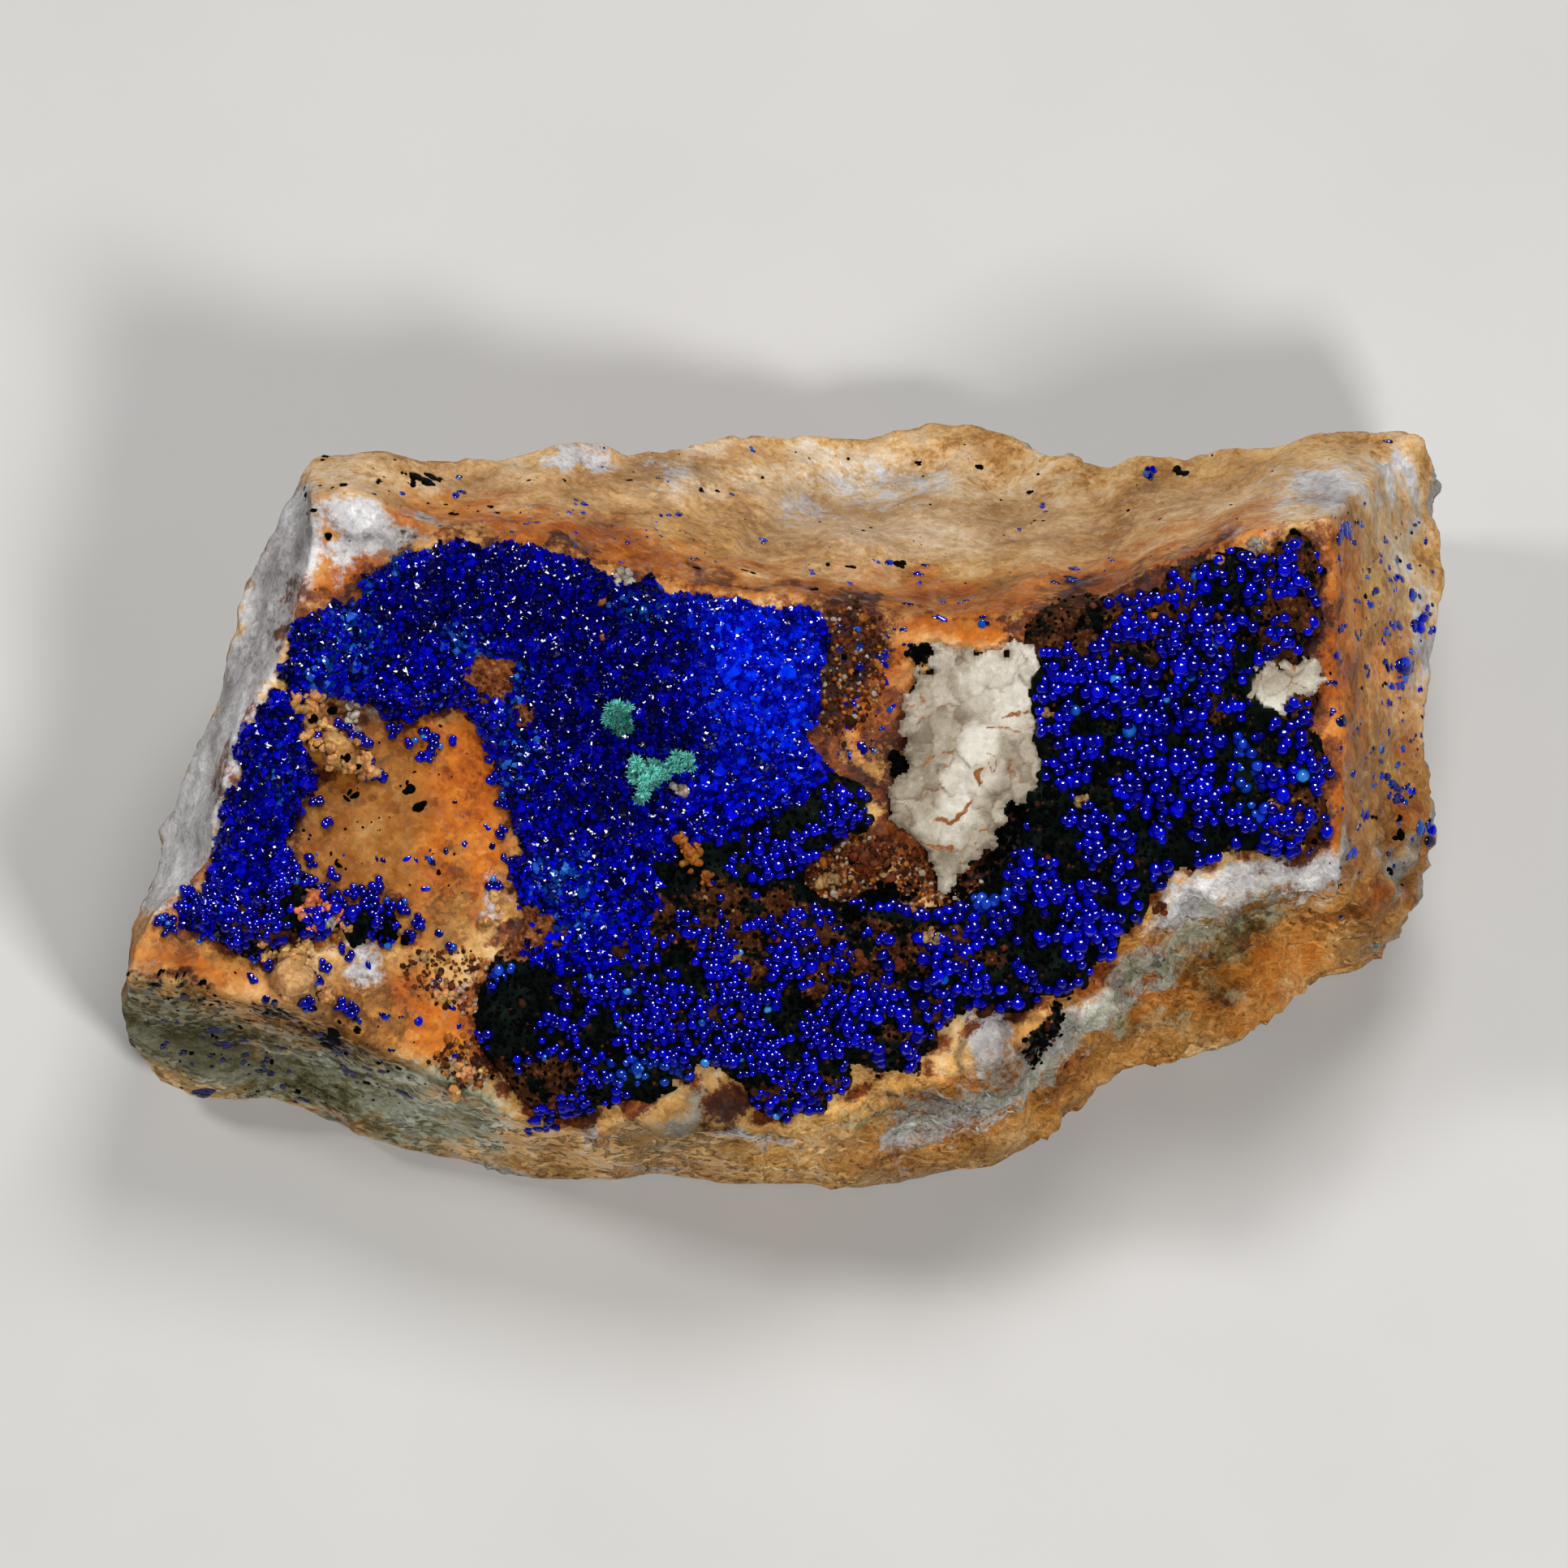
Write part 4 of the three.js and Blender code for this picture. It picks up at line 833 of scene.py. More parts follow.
# The druse
# Thousands of pointed azurite crystals a fifth of a millimetre across, packed side by side on the
# sheet. Their flat faces lean every way, so a few of them flash in any light.
CRYSTAL_SPACING = 0.195
CRYSTAL_WIDTH = 0.13  # half the width of an ordinary crystal
CRYSTAL_LEAN = 0.5  # how far an ordinary crystal leans to each side, as a slope
CRYSTAL_RINGS = [(-1.2, 0.8), (0.25, 1.0), (1.0, 0.55)]  # how high and wide, in half widths
CRYSTAL_FACES = [(3, 2, 1, 0)]
for ring in (0, 4):
    for side in range(4):
        after = (side + 1) % 4
        CRYSTAL_FACES.append((ring + side, ring + after, ring + 4 + after, ring + 4 + side))
CRYSTAL_FACES.append((8, 9, 10, 11))
FULL_TURN = 6.28
ROW_SPACING = 0.87  # spacing of the staggered rows of places, as a share of that in a row
JITTER = 0.42  # how far a place may stray, as a share of that spacing
random = np.random.default_rng(7)


def spread(spacing):
    """Places all over the face, about one spacing apart."""
    across = np.arange(FACE_LEFT + 1, FACE_RIGHT - 1, spacing)
    up = np.arange(FACE_FRONT + 1, FACE_BACK - 1, spacing * ROW_SPACING)
    grid_across, grid_up = np.meshgrid(across, up, indexing="ij")
    grid_across[:, ::2] += spacing / 2
    count = grid_across.size
    jitter = random.uniform(-JITTER, JITTER, (2, count)) * spacing
    return grid_across.ravel() + jitter[0], grid_up.ravel() + jitter[1]


def crust_places(spacing):
    """Places on the crust, with the masks there."""
    across, up = spread(spacing)
    out = on_crust(crust_height, across, up)
    found = ~np.isnan(out)
    places = np.stack([across, up, out], axis=1)[found]
    masks = crust_masks(places)
    masks["share"] = on_crust(crust_share, places[:, 0], places[:, 1])
    return places, masks


def frames_of(normals, turns):
    """For each normal, three crossed directions: two beside it, turned about it, and itself."""
    normals = normals / np.linalg.norm(normals, axis=1)[:, None]
    aside = np.cross(normals, (0.31, 0.95, 0.05))
    aside /= np.linalg.norm(aside, axis=1)[:, None]
    third = np.cross(normals, aside)
    cos, sin = np.cos(turns)[:, None], np.sin(turns)[:, None]
    first = aside * cos + third * sin
    return np.stack([first, np.cross(normals, first), normals], axis=2)


def copies_mesh(name, shapes, faces, smooth):
    """One mesh of many small solids, given as their points and the faces that they share."""
    count, size, _ = shapes.shape
    every = np.array(faces)[None] + (np.arange(count) * size)[:, None, None]
    every = every.reshape(-1, len(faces[0]))
    mesh = bpy.data.meshes.new(name)
    mesh.from_pydata(from_face(shapes.reshape(-1, 3)).tolist(), [], every.tolist())
    set_smooth(mesh, smooth)
    return mesh


def paint_copies(mesh, name, *masks):
    """Stores masks that have one value for each small solid of a mesh."""
    size = len(mesh.vertices) // len(masks[0])
    paint(mesh, name, *(np.repeat(mask, size) for mask in masks))


def crystal_shapes(places, widths):
    """Blunt four-sided crystals with bevelled tips, one at each place, leaning at random."""
    count = len(places)
    square = np.array([(-1, -0.8), (1, -0.8), (1, 0.8), (-1, 0.8)])
    points = np.array([(x * wide, y * wide, high) for high, wide in CRYSTAL_RINGS for x, y in square])
    shapes = points[None] + random.normal(0, 0.13, (count, len(points), 3))
    shapes[:, :, 2] += shapes[:, :, 0] * random.uniform(-0.5, 0.5, (count, 1)) * (points[:, 2] > 0)
    shapes[:, :, 2] *= random.uniform(0.7, 1.35, (count, 1))
    leans = random.normal(0, CRYSTAL_LEAN, (count, 2))
    normals = np.concatenate([leans, np.ones((count, 1))], axis=1)
    frames = frames_of(normals, random.uniform(0, FULL_TURN, count))
    shapes = np.einsum("nij,npj->npi", frames, shapes * widths[:, None, None])
    return shapes + places[:, None]


def crystal_finish():
    """Glassy dark blue, so that each flat face either flashes or stays deep in colour."""
    work = Wiring("azurite crystals")
    sky, bright, deep = work.masks("blue_kind")
    (vary, _, _) = work.masks("lightness_value")
    return work.finished({
        "Base Color": azurite_colour(work, deep, sky, bright, vary),
        "Roughness": 0.09,
        "IOR": 1.65,
        "Specular IOR Level": work.gloss(1.0),
        "Normal": work.facets(0.09, 0.3),
    })


def grow_druse():
    places, masks = crust_places(CRYSTAL_SPACING)
    count = len(places)
    chance = random.uniform(0, 1, count)
    grown = (masks["druse"] > chance * 0.8) & (masks["share"] > 0.16)
    places = places[grown]
    widths = CRYSTAL_WIDTH * random.lognormal(0, 0.28, len(places))
    mesh = copies_mesh("druse", crystal_shapes(places, widths), CRYSTAL_FACES, False)
    masks["sky"] *= random.uniform(0, 1.3, count) < masks["sky"]
    paint_copies(mesh, "blue_kind", *(masks[name][grown] for name in ("sky", "bright", "deep")))
    paint_copies(mesh, "lightness_value", random.uniform(0, 1, len(places)))
    show("azurite_druse", mesh, crystal_finish(), "azurite", "azurite_crust")


grow_druse()


# The round grains
# Right of the druse and below it the azurite is in balls half a millimetre across, single or grown
# together in chains and clumps, with the dark ground showing between them.
FIELDS_MEET = 4.0  # how far across the face the two fields of grains meet
LIGHT_GRAINS = 0.988  # a grain whose random number passes this is light blue

# The grains in front are smaller than those at the right: name, spacing, half width of a grain.
GRAIN_FIELDS = [("azurite_grains_front", 0.32, 0.20), ("azurite_grains_right", 0.40, 0.255)]


def round_template(subdivisions):
    """The points and faces of a round solid of radius 1."""
    draft = bmesh.new()
    bmesh.ops.create_icosphere(draft, subdivisions=subdivisions, radius=1)
    points = np.array([vertex.co for vertex in draft.verts])
    faces = [[vertex.index for vertex in face.verts] for face in draft.faces]
    draft.free()
    return points, faces


def turned_frames(count):
    """Directions for each of some solids, turned any way."""
    return frames_of(random.normal(0, 1, (count, 3)), random.uniform(0, FULL_TURN, count))


def lumpy_mesh(name, subdivisions, places, sizes, frames, lumpiness):
    """One mesh of round solids made uneven, each with its own half sizes, and the points of each."""
    template, faces = round_template(subdivisions)
    count = len(places)
    factor = np.ones((count, len(template)))
    for _ in range(4):
        wave = random.normal(0, 2.3, (count, 3))
        factor += lumpiness * np.sin(wave @ template.T + random.uniform(0, FULL_TURN, (count, 1)))
    shapes = template[None] * factor[:, :, None] * sizes[:, None]
    shapes = np.einsum("nij,npj->npi", frames, shapes) + places[:, None]
    return copies_mesh(name, shapes, faces, True), shapes


def painted_dome_shades(shapes, places):
    """Painted shade on each point of round grains, times each grain's random tone: light on a grain's top
    and dark down its sides.
    """
    rise = shapes[:, :, 2] - places[:, None, 2]
    rise /= rise.max(axis=1)[:, None]
    own = random.uniform(0.3, 0.95, (len(places), 1))
    return (own * np.clip(0.12 + 1.15 * rise, 0, 1)).ravel()


def grain_finish():
    work = Wiring("azurite grains")
    sky, bright, deep = work.masks("blue_kind")
    # The grains' and clumps' lightness is painted shade, dark down their sides, times a random tone; a
    # speck's is a random tone only.
    (own, _, _) = work.masks("lightness_value")
    fine = work.noise(0.16, 4, 0.6)
    vary = work.sum((own, 0.75), (fine, 0.35))
    return work.finished({
        "Base Color": azurite_colour(work, deep, sky, bright, vary),
        "Roughness": 0.05,
        "IOR": 1.8,
        "Specular IOR Level": work.gloss(1.0),
        "Normal": work.facets(0.25, 0.22),
    })


def chains(places):
    """Where grains gather in chains and clumps: above 0 in them and below 0 in the gaps between."""
    return 0.25 - 1.3 * np.abs(waves(places, 1.9, 30)) + 0.55 * waves(places, 0.85, 31)


def grow_grains(name, spacing, half_width):
    places, masks = crust_places(spacing)
    clump = chains(places)
    chance = random.uniform(-0.2, 0.2, len(places))
    wanted = clump + chance + 0.15 - 1.1 * masks["few"] - 0.9 * masks["druse"] - 1.5 * masks["bare"]
    right = places[:, 0] + 1.5 * waves(places, 2.0, 32) > FIELDS_MEET
    grown = (wanted > 0) & (masks["share"] > 0.25) & (right == (name == "azurite_grains_right"))
    places = places[grown] + (0, 0, 1) * (0.08 + 0.13 * random.normal(0, 1, (grown.sum(), 1)))
    count = len(places)
    sky = np.maximum(masks["sky"][grown] * 0.8, random.uniform(0, 1, count) > LIGHT_GRAINS)
    widths = half_width * random.lognormal(0, 0.17, count)
    sizes = widths[:, None] * random.uniform(0.88, 1.12, (count, 3))
    mesh, shapes = lumpy_mesh(name, 2, places, sizes, turned_frames(count), 0.05)
    paint_copies(mesh, "blue_kind", sky, masks["bright"][grown], masks["deep"][grown])
    # Painted shade: each grain lighter on its top and dark down its sides.
    paint(mesh, "lightness_value", painted_dome_shades(shapes, places))
    show(name, mesh, grain_material, "azurite", "azurite_crust")


grain_material = grain_finish()
for field in GRAIN_FIELDS:
    grow_grains(*field)


# The bare quartz clusters
# Two clumps of milky quartz that the azurite left bare, with the stone's own grain: overlapping
# plates of crystal, some clear and grey and some white, with iron rust in the seams between them.
CLUSTER_CELL = 0.085
CLUSTER_DEPTH = 0.88  # how far a cluster stands above the stone
CLUSTER_RIM = 0.4  # how far it stands above the stone at its edge
CLUSTER_EDGE = 0.5  # width of its steep margin
CLUSTER_FOOT = 0.6  # how far its underside lies in the stone
CLUSTER_SPARE = 0.8  # how far round its solid a cluster's grid reaches
PLATE_SPACING = 1.2

# Where the quartz is white, in the same form as the patches of the stone.
WHITE_PLATES = [
    (10.0, 4.6, 1.7, 1.9, 0, 1), (8.3, 0.2, 1.0, 2.6, -20, 1), (7.6, -4.9, 0.8, 0.8, 0, 0.7),
    (5.8, 5.6, 0.7, 0.5, 0, 0.7), (22.0, 3.6, 0.8, 0.8, 0, 1), (24.0, 4.4, 0.7, 0.5, 0, 0.7),
]

# Each seam of rust: a line across and up the face, with half its width.
RUST_SEAMS = [
    ([(10.0, 3.0), (10.8, 3.3), (11.8, 3.2), (12.0, 3.8)], 0.09),
    ([(8.7, 0.6), (8.5, -0.3), (8.1, -1.2)], 0.12), ([(8.1, -1.2), (7.4, -1.8), (6.8, -1.6)], 0.16),
    ([(9.2, 1.3), (9.6, 0.9), (9.3, 0.5), (9.0, 0.9)], 0.07),
    ([(10.3, 1.5), (10.2, 0.7), (10.6, 0.2)], 0.07), ([(11.4, 0.2), (11.5, -0.8), (12.2, -1.2)], 0.08),
    ([(9.2, 2.5), (10.4, 2.3), (11.2, 2.6)], 0.06), ([(5.4, 3.4), (6.2, 3.7), (6.4, 4.4)], 0.05),
    ([(6.0, 0.7), (7.0, 1.2), (7.8, 1.5)], 0.08), ([(8.8, -2.1), (9.8, -1.9), (10.6, -1.5)], 0.07),
    ([(8.6, -2.6), (9.0, -3.2), (9.8, -3.4)], 0.1), ([(6.2, -1.0), (6.6, -0.2), (7.2, 0.1)], 0.05),
    ([(7.9, 3.9), (8.2, 3.2), (7.8, 2.6)], 0.06), ([(6.2, -2.6), (6.9, -3.0), (7.6, -2.8)], 0.12),
    ([(22.6, 5.3), (22.8, 4.6), (23.4, 4.3), (24.2, 4.5)], 0.08),
    ([(21.4, 4.4), (22.0, 4.7), (22.8, 4.6)], 0.06), ([(9.4, -4.4), (9.9, -3.9), (9.8, -3.2)], 0.14),
]


def plates_of(grid_across, grid_up, centres):
    """Thin plates with many short sides over a grid: their relief, which one is on top, their rims."""
    best = np.full(grid_across.shape, -0.12)
    rim = np.zeros(grid_across.shape)
    owner = np.zeros(grid_across.shape, dtype=int)
    for index, (across, up) in enumerate(centres):
        over, along = grid_across - across, grid_up - up
        reach = np.zeros(grid_across.shape)
        corners = random.integers(6, 11)
        size = PLATE_SPACING * random.uniform(0.45, 0.85)
        for corner in range(corners):
            angle = FULL_TURN * (corner + random.uniform(-0.25, 0.25)) / corners
            away = size * random.uniform(0.85, 1.15)
            reach = np.maximum(reach, (over * math.cos(angle) + along * math.sin(angle)) / away)
        tilt = random.normal(0, 0.05, 2)
        level = random.uniform(-0.08, 0.16) + over * tilt[0] + along * tilt[1]
        level = np.where(reach < 1, level - 0.3 * np.maximum(reach - 0.8, 0), -9)
        won = level > best
        best[won] = level[won]
        rim[won] = np.clip(reach[won] * 5 - 4, 0, 1)
        owner[won] = index
    return best, owner, rim


def grow_cluster(name, node, wider, seed):
    """A bare quartz cluster in the outline of its solid, a little wider to clear the crust around."""
    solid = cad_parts[node].data
    shell = to_face(mesh_points(solid))
    left, front, _ = shell.min(axis=0) - CLUSTER_SPARE
    right, back, _ = shell.max(axis=0) + CLUSTER_SPARE
    across = np.arange(left, right, CLUSTER_CELL)
    up = np.arange(front, back, CLUSTER_CELL)
    grid_across, grid_up = np.meshgrid(across, up, indexing="ij")
    flat = level_places(grid_across, grid_up)
    ragged = 0.4 * waves(flat, 0.8, seed) + 0.25 * waves(flat, 0.35, seed + 1)
    ragged = ragged.reshape(grid_across.shape)
    block = heights(face_tree(stone_mesh), grid_across, grid_up)
    in_across = (left + right) / 2 + (grid_across - (left + right) / 2) / wider
    in_up = (front + back) / 2 + (grid_up - (front + back) / 2) / wider
    solid_top = heights(face_tree(solid), in_across + ragged, in_up - ragged)
    inside = ~np.isnan(solid_top) & ~np.isnan(block)
    columns = np.arange(left, right, PLATE_SPACING)
    rows = np.arange(front, back, PLATE_SPACING)
    centres = np.array([(a, b) for a in columns for b in rows])
    centres += random.uniform(-0.4, 0.4, centres.shape) * PLATE_SPACING
    relief, owner, rim = plates_of(grid_across + 0.5 * ragged, grid_up - 0.5 * ragged, centres)
    share = np.clip(margins(inside, CLUSTER_CELL, CLUSTER_EDGE) / CLUSTER_EDGE, 0, 1)
    grit = waves(flat, 0.45, seed + 2).reshape(inside.shape)
    grit += 0.6 * waves(flat, 0.2, seed + 3).reshape(inside.shape)
    rise = CLUSTER_RIM + (CLUSTER_DEPTH - CLUSTER_RIM) * (1 - (1 - share) ** 2)
    height = evened(block, 30) + rise + share * (0.42 * relief + 0.025 * grit)
    top = np.stack([grid_across, grid_up, height], axis=-1)
    foot = np.stack([grid_across, grid_up, block - CLUSTER_FOOT], axis=-1)
    mesh, used = solid_sheet(name, top, foot, inside)
    set_smooth(mesh, False)
    tone = random.uniform(0, 1, len(centres))[owner]
    white = patch_mask(stirred(flat, 0.3, seed + 4), WHITE_PLATES, 0.5).reshape(inside.shape)
    rust = band_mask(stirred(flat, 0.3, seed + 8), RUST_SEAMS, 0.13)
    rust = (rust * np.clip(0.95 + 1.2 * waves(flat, 0.5, seed + 5), 0, 1)).reshape(inside.shape)
    tone = 0.5 * tone + 0.55 * white
    low = np.clip(1 - share * 1.6, 0, 1) * 0.7
    rust = np.maximum(rust, np.maximum(low, rim * (0.4 + 0.2 * (tone < 0.5))))
    paint(mesh, "plate_kind", *(np.tile(mask[inside], 2)[used] for mask in (tone, rust, rim)))
    show(name, mesh, quartz_material, "quartz", node)


# Bare quartz and the rust in its seams, as ramps like the stone's.
QUARTZES = [
    (0.0, (0.20, 0.16, 0.11)), (0.3, (0.33, 0.28, 0.205)), (0.6, (0.43, 0.38, 0.30)),
    (1.0, (0.60, 0.56, 0.48)),
]
SEAM_RUST = [(0.25, (0.07, 0.02, 0.008)), (0.55, (0.28, 0.10, 0.03)), (0.8, (0.50, 0.30, 0.13))]


def quartz_finish():
    """Milky quartz: grey where it is clear, white where it is cloudy, rusty in its seams."""
    work = Wiring("bare quartz")
    tone, rust, seam = work.masks("plate_kind")
    fine = work.noise(0.22, 6, 0.7)
    broad = work.noise(0.9, 5, 0.6)
    mixed = work.sum((tone, 1.0), (broad, 1.0), (fine, 0.5), (seam, -0.2), (1.0, -0.72))
    jitter = work.math("MULTIPLY", work.math("SUBTRACT", fine, 0.5), 1.3)
    stained = work.between(work.math("ADD", rust, jitter), 0.46, 0.66)
    return work.finished({
        "Base Color": work.blend(stained, work.ramp(mixed, *QUARTZES), work.ramp(fine, *SEAM_RUST)),
        "Roughness": work.between(broad, 0.65, 0.35, 0.12, 0.45),
        "IOR": 1.54,
        "Subsurface Weight": 0.3,
        "Subsurface Radius": (1.0, 0.9, 0.7),
        "Subsurface Scale": 0.5 * MM,
        "Normal": work.bump(fine, 0.05, work.facets(0.3, 0.5)),
    })


quartz_material = quartz_finish()
grow_cluster("quartz_plates_centre", "quartz_cluster_centre", 1.0, 40)
grow_cluster("quartz_plates_right", "quartz_cluster_right", 1.12, 50)


# The malachite tufts
# Two velvety green tufts on the druse, made of rosettes of silky fibres that spread from a middle.
# The fibres pale towards their tips, with painted shade at their roots and in the tuft's hollows and
# painted light on its ridges.
ROSETTE_SPACING = 0.3
ROSETTE_FIBRES = 60
FIBRE_LENGTH = 0.36
FIBRE_WIDTH = 0.034  # half the width of a fibre at its root
FIBRE_BEND = 0.65  # how far along a fibre its point begins, as a share of its length
TUFT_MARGIN = 0.14  # how far inside a tuft's outline its fibres start
FIBRE_POINTS = [(math.cos(turn), math.sin(turn), 0) for turn in (0, 2.09, 4.19)]
FIBRE_POINTS += [(0.8 * x, 0.8 * y, FIBRE_BEND) for x, y, _ in FIBRE_POINTS] + [(0, 0, 1)]
FIBRE_FACES = [(2, 1, 0)]
for side in range(3):
    after = (side + 1) % 3
    FIBRE_FACES += [(side, after, after + 3), (side, after + 3, side + 3), (side + 3, after + 3, 6)]

# The greens from a fibre's root, dark with painted shade deep in the tuft, to its paler tip: darker in
# the hollows as painted shade, lighter on the ridges as painted light; and how a fibre's own random tone
# changes them.
SHADED_HOLLOW_GREENS = [(0.0, (0.0, 0.02, 0.015)), (0.5, (0.0, 0.13, 0.09)), (1.0, (0.0, 0.36, 0.26))]
LIT_RIDGE_GREENS = [(0.0, (0.0, 0.14, 0.11)), (0.5, (0.01, 0.56, 0.43)), (1.0, (0.42, 1.0, 0.90))]
OWN_GREENS = [(0.0, (0.1, 0.25, 0.22)), (0.55, (0.9, 0.95, 0.95)), (1.0, (1.3, 1.15, 1.15))]


def malachite_finish():
    work = Wiring("malachite fibres")
    along, own, pale = work.masks("fibre")
    # Painted light and shade: the pale share takes the lit ridge greens, the rest the shaded hollow
    # greens.
    green = work.blend(pale, work.ramp(along, *SHADED_HOLLOW_GREENS), work.ramp(along, *LIT_RIDGE_GREENS))
    return work.finished({
        "Base Color": work.blend(1.0, green, work.ramp(own, *OWN_GREENS), "MULTIPLY"),
        "Roughness": 0.3,
        "Sheen Weight": 0.3,
        "Normal": work.bump(work.noise(0.03, 2), 0.004),
    })


def grow_tuft(name, node):
    """A tuft of rosettes, heaped up to a lumpy top, that fills the outline of its solid."""
    across, up = spread(ROSETTE_SPACING)
    solid = face_tree(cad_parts[node].data)
    near = np.ones(len(across), dtype=bool)
    for over, along in ((-1, 0), (1, 0), (0, -1), (0, 1)):
        near &= ~np.isnan(heights(solid, across + over * TUFT_MARGIN, up + along * TUFT_MARGIN))
    across, up = across[near], up[near]
    flat = level_places(across, up)
    heap = np.clip(0.35 + 1.2 * waves(flat, 0.6, 35) + random.normal(0, 0.14, len(across)), 0.0, 1.0)
    out = on_crust(crust_height, across, up) + heap
    count = len(across) * ROSETTE_FIBRES
    roots = np.repeat(np.stack([across, up, out], axis=1), ROSETTE_FIBRES, axis=0)
    lean = random.normal(0, 1, (count, 3))
    lean[:, 2] = np.abs(lean[:, 2]) * 0.9 + 0.05
    frames = frames_of(lean, random.uniform(0, FULL_TURN, count))
    length = FIBRE_LENGTH * random.uniform(0.75, 1.2, count)
    width = np.full(count, FIBRE_WIDTH)
    shapes = np.array(FIBRE_POINTS)[None] * np.stack([width, width, length], axis=1)[:, None]
    shapes = np.einsum("nij,npj->npi", frames, shapes) + roots[:, None]
    mesh = copies_mesh(name, shapes, FIBRE_FACES, False)
    along = np.tile([z for _, _, z in FIBRE_POINTS], count)
    own = np.repeat(random.uniform(0, 1, count), len(FIBRE_POINTS))
    # The pale share is painted light: high along ridge lines of noise and on the heap's tops; the rest is
    # painted shade.
    ridges = 1.25 - 4.2 * np.abs(waves(flat, 0.75, 36))
    pale = np.clip(ridges + 0.4 * heap + random.uniform(-0.25, 0.25, len(across)), 0, 1)
    paint(mesh, "fibre", along, own, np.repeat(pale, len(FIBRE_POINTS) * ROSETTE_FIBRES))
    show(name, mesh, malachite_material, "malachite", node)


malachite_material = malachite_finish()
grow_tuft("malachite_fibres_upper", "malachite_tuft_upper")
grow_tuft("malachite_fibres_lower", "malachite_tuft_lower")


# Nodules and grit
# Small rounded lumps of iron and manganese oxide, clay and quartz that sit on the face: the knobs in
# the bare window at the left, and loose-looking grit on the dark ground between the blue grains.
GRIT_SPACING = 0.3
GRIT_SIZE = 0.10  # half the width of an ordinary bit of grit

# The colours of the small lumps.
TONES = {
    "peach": (0.70, 0.36, 0.13), "coral": (0.75, 0.22, 0.09), "orange": (0.40, 0.13, 0.02),
    "tan": (0.36, 0.22, 0.09), "grey": (0.42, 0.37, 0.31), "rust": (0.13, 0.03, 0.010),
    "brown": (0.045, 0.015, 0.007), "soot": (0.0012, 0.0016, 0.0016),
}

# Where rusty grit lies on the stone beside the crust, in the same form as the stone's patches.
RUSTY_GRIT = [
    (3.4, -4.3, 3.8, 1.7, 0, 1), (2.9, 5.0, 1.8, 3.2, 0, 0.7), (-14.6, -8.8, 2.4, 1.6, -20, 0.7),
    (-14.2, -12.4, 1.6, 1.2, 0, 0.8), (8.6, -5.6, 1.6, 1.0, 0, 1),
]

